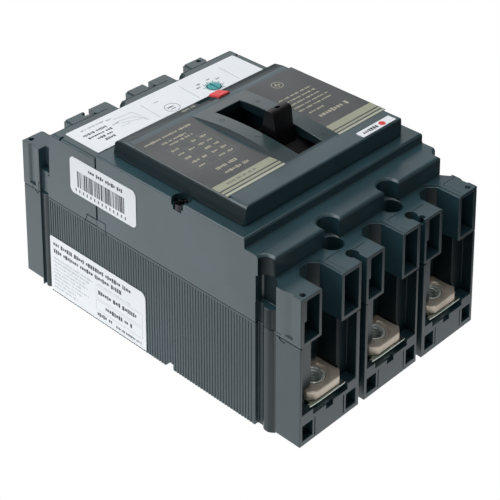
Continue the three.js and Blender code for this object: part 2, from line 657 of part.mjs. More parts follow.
// both stickers are on the +X side wall
add('barcode_sticker', box(STICKER_X, [-48.6, -7.9], [55, 71.6]), 'label');
add('rating_sticker', box(STICKER_X, [-63.8, -3.4], [0.8, 27.3]), 'label');

export default part;
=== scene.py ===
"""Looks of the three-pole moulded case breaker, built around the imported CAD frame. Lengths in metres."""
import math

import bpy
import bmesh
from mathutils import Vector, Matrix
from mathutils.kdtree import KDTree

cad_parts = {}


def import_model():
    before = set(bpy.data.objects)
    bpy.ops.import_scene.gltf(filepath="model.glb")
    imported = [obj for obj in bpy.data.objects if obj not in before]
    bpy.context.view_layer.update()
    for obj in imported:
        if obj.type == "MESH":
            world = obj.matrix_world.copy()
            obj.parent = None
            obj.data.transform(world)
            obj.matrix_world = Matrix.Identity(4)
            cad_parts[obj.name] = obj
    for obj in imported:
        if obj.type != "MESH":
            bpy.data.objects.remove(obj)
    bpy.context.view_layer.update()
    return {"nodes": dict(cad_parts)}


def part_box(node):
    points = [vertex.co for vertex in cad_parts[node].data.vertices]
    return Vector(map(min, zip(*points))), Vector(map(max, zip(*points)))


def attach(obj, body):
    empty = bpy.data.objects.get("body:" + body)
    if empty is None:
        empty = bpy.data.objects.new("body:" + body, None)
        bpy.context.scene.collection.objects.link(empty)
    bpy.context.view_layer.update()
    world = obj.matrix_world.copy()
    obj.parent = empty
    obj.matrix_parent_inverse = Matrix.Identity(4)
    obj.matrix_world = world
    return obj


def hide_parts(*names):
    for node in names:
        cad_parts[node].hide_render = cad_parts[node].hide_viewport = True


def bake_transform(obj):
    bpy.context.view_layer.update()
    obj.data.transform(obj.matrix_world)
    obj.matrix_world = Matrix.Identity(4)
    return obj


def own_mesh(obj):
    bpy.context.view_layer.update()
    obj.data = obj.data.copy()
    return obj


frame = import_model()
NODES = frame["nodes"]
MM = 0.001
SC = bpy.context.scene
SC.view_settings.view_transform = "Standard"
SC.view_settings.look = "None"
SC.cycles.use_denoising = True


# ------------------------------------------------------------------ materials
class Nodes:
    """Short hand for building a node tree."""

    def __init__(self, name):
        self.mat = bpy.data.materials.new(name)
        self.mat.use_nodes = True
        self.t = self.mat.node_tree
        self.t.nodes.clear()
        self.out = self.add("ShaderNodeOutputMaterial")
        self.p = self.add("ShaderNodeBsdfPrincipled")
        self.link(self.p, "BSDF", self.out, "Surface")
        self.co = self.add("ShaderNodeTexCoord")

    def add(self, kind, **kw):
        n = self.t.nodes.new(kind)
        for k, v in kw.items():
            setattr(n, k, v)
        return n

    def link(self, a, ao, b, bi):
        self.t.links.new(a.outputs[ao], b.inputs[bi])

    def noise(self, scale, detail=4, rough=0.6, stretch=None):
        n = self.add("ShaderNodeTexNoise")
        n.inputs["Scale"].default_value = scale
        n.inputs["Detail"].default_value = detail
        n.inputs["Roughness"].default_value = rough
        if stretch:
            m = self.add("ShaderNodeMapping")
            m.inputs["Scale"].default_value = stretch
            self.link(self.co, "Object", m, "Vector")
            self.link(m, "Vector", n, "Vector")
        else:
            self.link(self.co, "Object", n, "Vector")
        return n

    def ramp(self, src, out, stops):
        r = self.add("ShaderNodeValToRGB")
        e = r.color_ramp.elements
        while len(e) > len(stops):
            e.remove(e[-1])
        while len(e) < len(stops):
            e.new(0.5)
        for el, (pos, col) in zip(e, stops):
            el.position = pos
            el.color = col if len(col) == 4 else (*col, 1)
        self.link(src, out, r, "Fac")
        return r

    def mul(self, src, out, lo, hi, f0=0.3, f1=0.7):
        m = self.add("ShaderNodeMapRange")
        m.inputs["From Min"].default_value = f0
        m.inputs["From Max"].default_value = f1
        m.inputs["To Min"].default_value = lo
        m.inputs["To Max"].default_value = hi
        self.link(src, out, m, "Value")
        return m

    def bump(self, pairs, bevel=None):
        last = None
        if bevel:
            last = self.add("ShaderNodeBevel", samples=4)
            last.inputs["Radius"].default_value = bevel
        for src, out, dist, strength in pairs:
            b = self.add("ShaderNodeBump")
            b.inputs["Strength"].default_value = strength
            b.inputs["Distance"].default_value = dist
            self.link(src, out, b, "Height")
            if last is not None:
                self.link(last, "Normal", b, "Normal")
            last = b
        self.link(last, "Normal", self.p, "Normal")


def rgb(*c):
    """sRGB 0-255 to linear."""
    return tuple((v / 255 / 12.92) if v / 255 <= 0.04045 else ((v / 255 + 0.055) / 1.055) ** 2.4 for v in c)


def plastic(name, base, rough=0.40, grain=0.15, spec=1.0, bevel=0.00022, edge=0.0):
    """Satin moulded plastic: dark body colour, clear reflection, fine grain, edges rubbed a touch paler."""
    n = Nodes(name)
    big = n.noise(30, 3, 0.55)
    fine = n.noise(4200, 2, 0.5)
    mid = n.noise(700, 3, 0.55)
    lo = tuple(v * 0.82 for v in base)
    hi = tuple(min(1, v * 1.2) for v in base)
    col = n.ramp(big, "Fac", [(0.32, lo), (0.68, hi)])
    mix = n.add("ShaderNodeMix", data_type="RGBA")
    n.link(col, "Color", mix, 6)
    geo = n.add("ShaderNodeNewGeometry")
    e = n.mul(geo, "Pointiness", 0, edge, 0.53, 0.66)
    e2 = n.add("ShaderNodeMath", operation="MULTIPLY")
    n.link(e, "Result", e2, 0)
    n.link(mid, "Fac", e2, 1)
    n.link(e2, "Value", mix, 0)
    mix.inputs[7].default_value = (*[min(1, v * 2.0 + 0.05) for v in base], 1)
    n.link(mix, 2, n.p, "Base Color")
    r = n.mul(mid, "Fac", rough - 0.01, rough + 0.015)
    n.link(r, "Result", n.p, "Roughness")
    n.p.inputs["Specular IOR Level"].default_value = spec
    n.bump([(fine, "Fac", 0.000006 * grain, 0.15)] if grain else [], bevel)
    return n.mat


def metal(name, base, rough=0.3, stretch=(300, 300, 300), tint=None, amount=0.4, bump=0.00002, bevel=0.0002, metallic=1.0):
    n = Nodes(name)
    n.p.inputs["Metallic"].default_value = metallic
    s = n.noise(1.0, 5, 0.6, stretch)
    big = n.noise(160, 4, 0.6)
    col = n.ramp(big, "Fac", [(0.3, base), (0.72, tint or tuple(v * 0.75 for v in base))])
    n.link(col, "Color", n.p, "Base Color")
    r = n.mul(s, "Fac", rough - 0.08, rough + 0.16)
    n.link(r, "Result", n.p, "Roughness")
    n.bump([(s, "Fac", bump, amount)], bevel)
    return n.mat


def paper(name, base, rough=0.35):
    n = Nodes(name)
    f = n.noise(1500, 3, 0.6)
    big = n.noise(60, 3, 0.6)
    col = n.ramp(big, "Fac", [(0.3, tuple(v * 0.965 for v in base)), (0.7, base)])
    n.link(col, "Color", n.p, "Base Color")
    r = n.mul(f, "Fac", rough - 0.04, rough + 0.06)
    n.link(r, "Result", n.p, "Roughness")
    n.bump([(big, "Fac", 0.00003, 0.2), (f, "Fac", 0.000008, 0.2)])
    return n.mat


def ink(name, base, rough=0.5):
    n = Nodes(name)
    f = n.noise(2600, 3, 0.6)
    col = n.ramp(f, "Fac", [(0.3, tuple(v * 0.88 for v in base)), (0.7, base)])
    n.link(col, "Color", n.p, "Base Color")
    n.p.inputs["Roughness"].default_value = rough
    n.bump([(f, "Fac", 0.000006, 0.2)])
    return n.mat


BODY = (0.0155, 0.0450, 0.0570)
M = {
    "case": plastic("case_plastic", BODY, 0.30),
    # painted shade: the base takes a slightly darker, less glossy copy of the case plastic, standing in for the shading
    # in the grooves of its ribs
    "rib": plastic("base_plastic_painted_groove_shade", tuple(v * 0.92 for v in BODY), 0.32, spec=0.86),
    # painted shade: darker, duller copies of the case plastic for faces that lie in shade; the second one, darkest, is
    # for deep recesses
    "shade": plastic("painted_shade_plastic", tuple(v * 0.5 for v in BODY), 0.30, 0.0, spec=0.55),
    "painted_deep_shade": plastic("painted_deep_shade_plastic", tuple(v * 0.42 for v in BODY), 0.36, 0.0, spec=0.30),
    "cover": plastic("cover_plastic", tuple(v * 1.22 for v in BODY), 0.30, 0.0),
    "plate": plastic("printed_plate", (0.0860, 0.0900, 0.0940), 0.34, 0.0, spec=0.24, edge=0.0),
    "crown": plastic("escutcheon_plastic", (0.0200, 0.0430, 0.0480), 0.30, 0.1, spec=1.0, edge=0.05),
    "handle": plastic("handle_plastic", (0.0042, 0.0036, 0.0046), 0.30, 1.0, spec=0.30, edge=0.04),
    "red": plastic("red_plastic", (0.88, 0.10, 0.105), 0.40, 0.4, spec=0.28, edge=0.03),
    "teal": plastic("teal_plastic", rgb(70, 158, 162), 0.42, 0.5, spec=0.4, edge=0.05),
    "inner": plastic("inner_plastic", (0.010, 0.012, 0.013), 0.5, spec=0.5),
    "fibre": plastic("arc_chute_fibre", rgb(150, 108, 80), 0.7, 2.0, spec=0.25, edge=0.05),
    "white": paper("white_film", (0.82, 0.86, 0.90)),
    # painted sheen: the tin is lighter and only half metallic, so the pads catch diffuse light in place of the bright
    # reflections they lack in their pockets
    "tin": metal("tinned_copper", rgb(238, 226, 210), 0.38, (900, 140, 900), rgb(208, 196, 178), metallic=0.52),
    "zinc": metal("zinc_plated_steel", rgb(226, 238, 230), 0.26, (500, 500, 500), rgb(196, 212, 202)),
    # painted sheen: the nuts are near-white and mostly diffuse, to stay bright in their dark pockets in place of real
    # reflections
    "nut": metal("zinc_nut_painted_sheen", rgb(248, 254, 250), 0.24, (500, 500, 500), rgb(226, 238, 230), metallic=0.32),
    "steel": metal("bright_steel", rgb(186, 188, 188), 0.32, (700, 90, 90), rgb(150, 152, 152)),
    "silver": metal("silver_contact", rgb(226, 224, 218), 0.25, (600, 600, 600)),
    "copper": metal("bare_copper", rgb(200, 128, 92), 0.3, (400, 400, 400)),
    "screw": metal("black_screw", rgb(62, 62, 66), 0.22, (500, 500, 500)),
    "ink_black": ink("black_ink", rgb(50, 54, 62)),
    "ink_grey": ink("grey_ink", rgb(160, 166, 176)),
    "ink_pale": ink("pale_grey_ink", rgb(196, 202, 210)),
    "ink_olive": ink("olive_ink", rgb(160, 162, 142), 0.42),
    "ink_olive2": ink("pale_olive_ink", rgb(178, 182, 164), 0.42),
    "ink_cream": ink("cream_ink", rgb(172, 168, 150), 0.45),
    "ink_dim": ink("dim_cream_ink", rgb(118, 120, 114), 0.45),
    "ink_red": ink("red_ink", rgb(222, 60, 60), 0.4),
    "ink_teal": ink("teal_ink", rgb(84, 160, 164), 0.5),
}


# ------------------------------------------------------------------ mesh helpers
def obj(name, me, mat, body="case"):
    o = bpy.data.objects.new(name, me)
    SC.collection.objects.link(o)
    me.materials.clear()
    me.materials.append(M[mat])
    if body:
        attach(o, body)
    return o


def mesh_from(name, verts, faces):
    me = bpy.data.meshes.new(name)
    me.from_pydata([tuple(c * MM for c in v) for v in verts], [], faces)
    me.update()
    return me


def temp(name, me):
    o = bpy.data.objects.new(name, me)
    SC.collection.objects.link(o)
    return o


def prism(pts, a0, a1, axis="z"):
    """Closed prism in mm. pts are XY for axis z, YZ for axis x, XZ for axis y."""
    area = sum(p[0] * q[1] - q[0] * p[1] for p, q in zip(pts, pts[1:] + pts[:1]))
    if area < 0:
        pts = pts[::-1]
    n = len(pts)
    put = {"z": lambda p, a: (p[0], p[1], a), "x": lambda p, a: (a, p[0], p[1]), "y": lambda p, a: (p[0], a, p[1])}[axis]
    v = [put(p, a0) for p in pts] + [put(p, a1) for p in pts]
    f = [tuple(range(n))[::-1], tuple(range(n, 2 * n))] + [(i, (i + 1) % n, n + (i + 1) % n, n + i) for i in range(n)]
    if axis == "y":
        f = [q[::-1] for q in f]
    return v, f


def join(parts):
    V, F = [], []
    for v, f in parts:
        k = len(V)
        V += list(v)
        F += [tuple(i + k for i in q) for q in f]
    return V, F


def boxm(x0, x1, y0, y1, z0, z1):
    return prism([(x0, y0), (x1, y0), (x1, y1), (x0, y1)], z0, z1)


def cyl(axis, c, r, a0, a1, n=48, r1=None):
    """Cylinder or frustum; c is its centre in the plane across the axis, in the order of prism()."""
    r1 = r if r1 is None else r1
    put = {"z": lambda p, a: (p[0], p[1], a), "x": lambda p, a: (a, p[0], p[1]), "y": lambda p, a: (p[0], a, p[1])}[axis]
    ring = lambda rr, a: [put((c[0] + rr * math.cos(2 * math.pi * i / n), c[1] + rr * math.sin(2 * math.pi * i / n)), a) for i in range(n)]
    v = ring(r, a0) + ring(r1, a1)
    f = [tuple(range(n))[::-1], tuple(range(n, 2 * n))] + [(i, (i + 1) % n, n + (i + 1) % n, n + i) for i in range(n)]
    if axis == "y":
        f = [q[::-1] for q in f]
    return v, f


def bake(o):
    """Applies an object's modifiers."""
    dg = bpy.context.evaluated_depsgraph_get()
    me = bpy.data.meshes.new_from_object(o.evaluated_get(dg), preserve_all_data_layers=False, depsgraph=dg)
    o.modifiers.clear()
    old = o.data
    o.data = me
    return me


def boolean(o, vf, op):
    c = temp("cutter", mesh_from("cutter", *vf))
    m = o.modifiers.new("b", "BOOLEAN")
    m.object, m.operation, m.solver = c, op, "EXACT"
    bake(o)
    bpy.data.objects.remove(c)


def tidy(me, angle=0.6):
    """Merges coplanar triangles back into whole faces."""
    bm = bmesh.new()
    bm.from_mesh(me)
    bmesh.ops.remove_doubles(bm, verts=bm.verts, dist=2e-6)
    bmesh.ops.dissolve_limit(bm, angle_limit=math.radians(angle), verts=bm.verts, edges=bm.edges, delimit=set())
    bmesh.ops.recalc_face_normals(bm, faces=bm.faces)
    bm.to_mesh(me)
    bm.free()


def broken(me):
    """Corner points of faces that overlap themselves after an edge rounding."""
    me.calc_loop_triangles()
    area = {}
    for t in me.loop_triangles:
        area[t.polygon_index] = area.get(t.polygon_index, 0.0) + t.area
    out = []
    for p in me.polygons:
        if area.get(p.index, 0.0) > p.area * 1.02 + 1e-9:
            out += [me.vertices[i].co.copy() for i in p.vertices]
    return out


def even_normals(me, angle=42):
    """Corner normals by area, from the neighbouring faces that turn less than the angle."""
    lim = math.cos(math.radians(angle))
    nor = [p.normal.copy() for p in me.polygons]
    area = [p.area for p in me.polygons]
    at = [[] for _ in me.vertices]
    for p in me.polygons:
        for v in p.vertices:
            at[v].append(p.index)
    out = [None] * len(me.loops)
    for p in me.polygons:
        n, a = nor[p.index], area[p.index]
        for li in p.loop_indices:
            acc = n * a
            for q in at[me.loops[li].vertex_index]:
                if q != p.index and n.dot(nor[q]) > lim:
                    acc += nor[q] * area[q]
            out[li] = acc.normalized() if acc.length > 1e-20 else n
    for p in me.polygons:
        p.use_smooth = True
    me.normals_split_custom_set([tuple(v) for v in out])


def soften(o, width, segments=3, min_angle=24, skip=None, tidy_first=True):
    """Rounds the real edges by a bevel whose width shrinks beside short edges, then evens the normals.
    Where a rounding would fold a face over itself, its edges are left sharp instead."""
    if tidy_first:
        tidy(o.data)
    start = o.data.copy()
    name = "bevel_weight_edge"
    w = width * MM
    off = set()
    for turn in range(5):
        o.data = start.copy()
        me = o.data
        bm = bmesh.new()
        bm.from_mesh(me)
        bm.edges.ensure_lookup_table()
        lay = bm.edges.layers.float.get(name) or bm.edges.layers.float.new(name)
        lens = [e.calc_length() for e in bm.edges]
        for e in bm.edges:
            e[lay] = 0.0
            if e.index in off or len(e.link_faces) != 2 or e.calc_face_angle(0) < math.radians(min_angle):
                continue
            if skip and skip(e):
                continue
            m = lens[e.index]
            for v in e.verts:
                for e2 in v.link_edges:
                    m = min(m, lens[e2.index])
            e[lay] = max(0.0, min(1.0, m / (2.4 * w)))
        bm.to_mesh(me)
        bm.free()
        b = o.modifiers.new("bevel", "BEVEL")
        b.limit_method, b.width, b.segments, b.use_clamp_overlap, b.profile = "WEIGHT", w, segments, False, 0.5
        b.miter_outer = "MITER_ARC" if segments > 1 else "MITER_SHARP"
        bake(o)
        spots = broken(o.data)
        if not spots:
            break
        tree = KDTree(len(spots))
        for i, c in enumerate(spots):
            tree.insert(c, i)
        tree.balance()
        reach = (1.3 + turn) * w + 1e-5
        for e in start.edges:
            if any(tree.find(start.vertices[i].co)[2] < reach for i in e.vertices):
                off.add(e.index)
    even_normals(o.data)
    return o


def from_node(node, name, mat, body, width=0.3, cuts=(), adds=(), segments=3, min_angle=24, skip=None):
    """A finer copy of a CAD node: same shape, with extra detail cut or joined, and its edges rounded."""
    me = NODES[node].data.copy()
    o = temp(name, me)
    bm = bmesh.new()
    bm.from_mesh(me)
    bmesh.ops.remove_doubles(bm, verts=bm.verts, dist=2e-6)
    bm.to_mesh(me)
    bm.free()
    me.materials.clear()
    me.materials.append(M[mat])
    for vf in adds:
        boolean(o, vf, "UNION")
    for vf in cuts:
        boolean(o, vf, "DIFFERENCE")
    soften(o, width, segments, min_angle, skip)
    o.data.materials.clear()
    o.data.materials.append(M[mat])
    for p in o.data.polygons:
        p.material_index = 0
    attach(o, body)
    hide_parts(node)
    return o


def paint(o, mat, test):
    """Gives a second material to the faces whose centre (mm) and normal pass the test."""
    o.data.materials.append(M[mat])
    k = len(o.data.materials) - 1
    for p in o.data.polygons:
        if test(p.center / MM, p.normal):
            p.material_index = k


def loose(name, vf, mat, body="case", width=0.15, segments=3, smooth=None):
    """A new piece from closed prisms, in mm."""
    o = obj(name, mesh_from(name, *vf), mat, body)
    if width:
        soften(o, width, segments)
    return o


# ------------------------------------------------------------------ carried-over CAD nodes
LOOK = {"base_case": "case", "main_cover": "cover", "trip_unit_housing": "case", "front_cover": "cover", "trip_button": "red", "adjustment_dial": "teal",
        "trip_setting_label": "white", "badge_plate": "white", "barcode_sticker": "white", "rating_sticker": "white", "contact_crossbar": "inner", "trip_bar": "inner",
        "toggle_handle": "handle", "cover_screw_left": "screw", "cover_screw_right": "screw"}


def look_of(n):
    if n in LOOK:
        return LOOK[n]
    for key, mat in (("terminal", "tin"), ("nut", "zinc"), ("contact", "copper"), ("braid", "copper"), ("chute", "fibre")):
        if key in n:
            return mat
    return "zinc"


for name, o in NODES.items():
    o.data.materials.clear()
    o.data.materials.append(M[look_of(name)])
    for p in o.data.polygons:
        p.material_index = 0


# ------------------------------------------------------------------ profiles shared by several pieces
HX = -1.8                                   # centre plane of the mechanism
CROWN_Y0, CROWN_Y1, CROWN_H, CROWN_X = -17.0, 37.4, 2.0, 12.6
CROWN_C = (CROWN_Y0 + CROWN_Y1) / 2
CROWN_R = ((CROWN_Y1 - CROWN_C) ** 2 + CROWN_H ** 2) / (2 * CROWN_H)


def crown(y):
    """Height of the escutcheon's surface at y, in mm."""
    if abs(y - CROWN_C) >= CROWN_Y1 - CROWN_C:
        return 86.0
    return 86.0 + CROWN_H - (CROWN_R - math.sqrt(CROWN_R ** 2 - (y - CROWN_C) ** 2))


def round_cut(r, e=0.6, n=7):
    """Outline that takes a radius r off the corner at the origin of a solid lying in x<0, y<0."""
    return [(e, e), (-r, e)] + [(-r + r * math.sin(math.pi / 2 * i / n), -r + r * math.cos(math.pi / 2 * i / n)) for i in range(n + 1)] + [(e, -r)]


def long_round(x, z, r, y0, y1):
    """Cutter rounding the edge at +-x, z of a block that runs along Y."""
    out = []
    for s in (1, -1):
        out.append(prism([(s * (x + a), z + b) for a, b in round_cut(r)], y0, y1, "y"))
    return out


def cross_round(y, z, r, x0, x1, s=1):
    """Cutter rounding the edge at y, z of a block that runs along X; s gives the side the corner faces."""
    return prism([(y + s * a, z + b) for a, b in round_cut(r)], x0, x1, "x")


def groove(points, plane, depth, width, side=1):
    """Thin groove along a polyline on a wall x = plane; points are (y, z)."""
    out = []
    for (y0, z0), (y1, z1) in zip(points, points[1:]):
        ly, lz = y1 - y0, z1 - z0
        L = math.hypot(ly, lz)
        ny, nz = -lz / L * width / 2, ly / L * width / 2
        ey, ez = ly / L * width / 2, lz / L * width / 2
        q = [(y0 - ey + ny, z0 - ez + nz), (y1 + ey + ny, z1 + ez + nz), (y1 + ey - ny, z1 + ez - nz), (y0 - ey - ny, z0 - ez - nz)]
        a, b = sorted((side * (plane - depth), side * (plane + 0.6)))
        out.append(prism(q, a, b, "x"))
    return out


def top_groove(points, z, depth, width):
    """Thin groove along a polyline on a plane facing +Z; points are (x, y)."""
    out = []
    for (x0, y0), (x1, y1) in zip(points, points[1:]):
        lx, ly = x1 - x0, y1 - y0
        L = math.hypot(lx, ly)
        nx, ny = -ly / L * width / 2, lx / L * width / 2
        out.append(prism([(x0 + nx, y0 + ny), (x1 + nx, y1 + ny), (x1 - nx, y1 - ny), (x0 - nx, y0 - ny)], z - depth, z + 0.5))
    return out


POLES = (35.6, 0.0, -35.6)
PADS = (35.9, 0.3, -35.3)
GAP_X = 17.6


# ------------------------------------------------------------------ rear base: ribbed long walls, seams
def build_base():
    cuts = []
    ribs = []
    for s in (1, -1):
        y = -63.1
        while y < 56.9:
            a, b = sorted((s * 52.28, s * 53.2))
            ribs.append(boxm(a, b, y, y + 0.72, -1, 44.15))
            y += 1.5
        # joint lines of the lower trip unit block
    cuts.append(join(ribs))
    seams = []
    for s in (1, -1):
        seams += groove([(-40.1, -1), (-40.1, 46)], 52.5, 0.75, 0.4, s)
        seams += groove([(-27.1, 43.6), (-27.1, 46)], 52.5, 0.5, 0.35, s)
        seams += groove([(-74.6, 46), (-71.1, 43.6), (-70.4, 46)], 52.5, 0.5, 0.35, s)
        seams += groove([(68.9, 46), (70.6, 43.9), (72.6, 43.9)], 52.5, 0.5, 0.35, s)
    for c in seams:
        cuts.append(c)

    def skip(e):
        m = (e.verts[0].co + e.verts[1].co) / 2 / MM
        return abs(m.x) > 51.9 and -64 < m.y < 57.5

    o = from_node("base_case", "case_base", "rib", "case", 0.35, cuts=cuts, skip=skip)
    # painted deep shade on the far sides of the terminal chambers, and painted shade in the channels below the corner
    # notches
    paint(o, "painted_deep_shade", lambda c, n: 60 < abs(c.y) < 80.2 and c.z > 21.3 and any(-16 < c.x - pc < -5 for pc in POLES))
    paint(o, "shade", lambda c, n: 47.5 < abs(c.x) < 52.4 and 57.6 < abs(c.y) < 68.5 and abs(n.z) < 0.3)
    return o


# ------------------------------------------------------------------ upper casings
def seam_set(s):
    """Joint between trip unit and main cover, as it shows on the long wall: a wide gap."""
    out = groove([(-32.45, 80), (-32.45, 48.6)], 52.5, 1.3, 0.85, s)
    return out


def build_main_cover():
    cuts = long_round(52.5, 78.0, 0.7, -40, 53.5)
    cuts += [cross_round(52.0, 78.0, 1.0, -54, 54)]
    cuts += [cross_round(64.3, 73.8, 0.9, -54, 54)]
    for sx in (1, -1):
        cuts += [cyl("z", (sx * GAP_X, 64.3), 4.54, 43.5, 65.9, 72), cyl("z", (sx * GAP_X, 62.6), 4.64, 65.49, 80, 72),
                 cyl("z", (sx * 52.8, 62.9), 4.04, 65.32, 80, 72), cyl("z", (sx * 49.3, 78.3), 1.18, 62.6, 67, 32)]
    cuts += [cyl("z", (-19.9, 78.3), 1.18, 62.6, 67, 32)]
    # lower corner jog beside the trip unit, and the fine line under it
    for s in (1, -1):
        cuts += groove([(-32.9, 48.6), (-27.1, 48.6), (-27.1, 44)], 52.5, 0.5, 0.35, s)
        cuts += groove([(-32.3, 80), (-32.3, 48.6)], 52.5, 1.2, 0.9, s)
        cuts += groove([(68.0, 46.6), (70.6, 46.6)], 52.5, 0.4, 0.3, s)
    cuts += [boxm(-60, 60, -32.6, -31.85, 77.2, 79)]
    # mould lines on the terminal blocks
    for b0, b1, pc in ((19.2, 52.5, 35.6), (-16, 16, 0), (-52.5, -19.2, -35.6)):
        cuts += top_groove([(pc - 8.4, 81), (pc - 8.4, 69.8), (b0 + 0.2, 69.8)], 65.5, 0.22, 0.22)
        if b1 < 50:
            cuts += top_groove([(pc + 8.4, 73.0), (b1 - 0.2, 73.0)], 65.5, 0.22, 0.22)
    # counterbores of the two cover screws, open to the long walls
    cuts += [cyl("z", (sx * 49.9, 15.9), 4.15, 75.1, 79.5, 56) for sx in (1, -1)]
    # chamfered rims of the screw channels
    for sx in (1, -1):
        cuts += [cyl("z", (sx * GAP_X, 64.3), 4.45, 64.9, 65.6, 48, 5.15)]
        cuts += [cyl("z", (sx * GAP_X, 62.6), 4.55, 72.9, 73.9, 48, 5.5)]
        cuts += [cyl("z", (sx * 52.8, 62.9), 4.0, 72.95, 73.9, 72, 4.95)]
    o = from_node("main_cover", "cover_main", "cover", "case", 0.32, cuts=cuts)
    # painted shade: the notches at the corners take the darkest plastic, and the chamfers between the lobes take the
    # darker one, to hold down their reflections
    paint(o, "painted_deep_shade", lambda c, n: 47.5 < abs(c.x) < 52.4 and 58.4 < c.y < 67.4 and abs(n.z) < 0.3)
    paint(o, "shade", lambda c, n: c.z < 65.3 and 64 < c.y < 73 and 0.5 < abs(n.x) < 0.85 and n.y > 0.5)
    return o


def build_trip_housing():
    cuts = long_round(52.5, 76.5, 1.0, -66, -30)
    for sx in (1, -1):
        cuts += [cyl("z", (sx * GAP_X, -60.7), 4.54, 43.5, 80, 72), cyl("z", (sx * 49.3, -78.3), 1.18, 62.6, 67, 32)]
    cuts += [cyl("z", (19.9, -78.3), 1.18, 62.6, 67, 32), cyl("z", (-22.6, -40.6), 3.43, 70, 80, 56)]
    for s in (1, -1):
        cuts += groove([(-32.5, 80), (-32.5, 48.4)], 52.5, 1.2, 0.7, s)
        cuts += groove([(-32.2, 48.2), (-38.8, 48.2), (-38.8, 47.4), (-40.1, 44)], 52.5, 0.5, 0.35, s)
        cuts += groove([(-70.4, 44), (-70.4, 49.6), (-64.6, 50.9)], 52.5, 0.5, 0.3, s)
        cuts += groove([(-74.5, 46.4), (-74.2, 44)], 52.5, 0.5, 0.4, s)
    cuts += [cyl("z", (-22.6, -40.6), 3.35, 76.0, 76.6, 48, 3.8)]
    for sx in (1, -1):
        cuts += [cyl("z", (sx * GAP_X, -60.7), 4.45, 64.9, 65.6, 48, 5.1)]
        cuts += [boxm(*sorted((sx * 50.4, sx * 53)), -55.3, -54.2, 75.4, 78)]
    return from_node("trip_unit_housing", "trip_housing", "case", "case", 0.32, cuts=cuts)


# ------------------------------------------------------------------ raised front cover with its escutcheon
def build_front_cover():
    # drafted, rounded long sides of the raised part
    cuts = []
    for s in (1, -1):
        side = [(48.5, 78.35), (47.2, 78.35), (46.98, 79.6), (46.72, 81.2), (46.45, 82.8), (46.15, 84.2), (45.85, 85.0), (45.45, 85.55), (44.9, 85.88), (44.2, 86.0), (44.2, 87.0), (48.5, 87.0)]
        cuts.append(prism([(s * a, b) for a, b in side], -30, 50, "y"))
    # finer crown than the CAD's: take its facets down to a smooth arc
    n = 40
    arc = [(CROWN_Y0 + (CROWN_Y1 - CROWN_Y0) * i / n) for i in range(n + 1)]
    cuts += [prism([(y, crown(y) - 0.012) for y in arc] + [(CROWN_Y1, 90), (CROWN_Y0, 90)], -30, 30, "x")]
    # thin border line of the two printed plates
    for s in (1, -1):
        cuts += top_groove([(s * 45.3, -16.5), (s * 45.3, 43.0)], 86.0, 0.16, 0.25)
    o = from_node("front_cover", "cover_front", "cover", "case", 0.3, cuts=cuts)
    paint(o, "crown", lambda c, n: c.z > 86.08 and abs(c.x - HX) < 14.3 and -16.8 < c.y < 37.2)
    # painted shade: darkest plastic on the drafted long sides of the raised part
    paint(o, "painted_deep_shade", lambda c, n: abs(c.x) > 45.5 and abs(n.x) > 0.9)
    # painted shade on the sloped band at the -Y end
    paint(o, "shade", lambda c, n: c.y < -18.5 and n.z > 0.9 and n.y < -0.15)
    # painted shade: darkest plastic on the inner walls of the handle opening
    paint(o, "painted_deep_shade", lambda c, n: abs(c.x - HX) < 12.2 and -17 < c.y < 37.5 and abs(n.z) < 0.3 and c.z < 87.5)
    # painted shade: darkest plastic on the crescent ramps beside the escutcheon
    paint(o, "painted_deep_shade", lambda c, n: 12.2 < abs(c.x - HX) < 24 and c.z > 85.9 and abs(n.x) > 0.2 and abs(c.y - CROWN_C) < 27)
    # inner walls of the handle opening, and a flat wall across its -Y end
    w = join([boxm(HX - 12.3, HX - 11.4, -12.6, 37.4, 74.7, 83.2), boxm(HX + 11.4, HX + 12.3, -12.6, 37.4, 74.7, 83.2)])
    # painted shade: the liner walls of the opening take the darkest plastic
    loose("opening_walls", w, "painted_deep_shade", "case", 0.15)
    loose("opening_end_wall", boxm(HX - 11.2, HX + 11.2, -12.6, -11.7, 71.5, 83.2), "painted_deep_shade", "case", 0.15)
    return o


# ------------------------------------------------------------------ toggle
def build_toggle():
    o = from_node("toggle_handle", "toggle_moulding", "handle", "handle", 0.8, cuts=[cyl("z", (HX, 16.6), 0.84, 94.4, 98, 32)], segments=5, min_angle=28)
    # grip a little fuller toward its tip
    for v in o.data.vertices:
        k = max(0.0, (v.co.z / MM - 86.0) / 11.0)
        v.co.x += (0.25 if v.co.x / MM > HX else -0.5) * k * MM
        v.co.y += 0.55 * k * MM
    return o


# ------------------------------------------------------------------ tubes, coils, threads
def tube(path, r, n=8, closed=False):
    """Round wire along a list of points (mm), with flat ends."""
    V, F = [], []
    pts = [Vector(p) for p in path]
    up = Vector((0, 0, 1))
    t0 = (pts[1] - pts[0]).normalized()
    side = t0.cross(up)
    if side.length < 1e-3:
        side = t0.cross(Vector((1, 0, 0)))
    side.normalize()
    for i, p in enumerate(pts):
        t = (pts[min(i + 1, len(pts) - 1)] - pts[max(i - 1, 0)]).normalized()
        side = (side - t * side.dot(t)).normalized()
        other = t.cross(side)
        for k in range(n):
            a = 2 * math.pi * k / n
            V.append(tuple(p + side * (r * math.cos(a)) + other * (r * math.sin(a))))
    for i in range(len(pts) - 1):
        for k in range(n):
            a, b = i * n + k, i * n + (k + 1) % n
            F.append((a, b, b + n, a + n))
    F.append(tuple(range(n))[::-1])
    F.append(tuple(range((len(pts) - 1) * n, len(pts) * n)))
    return V, F


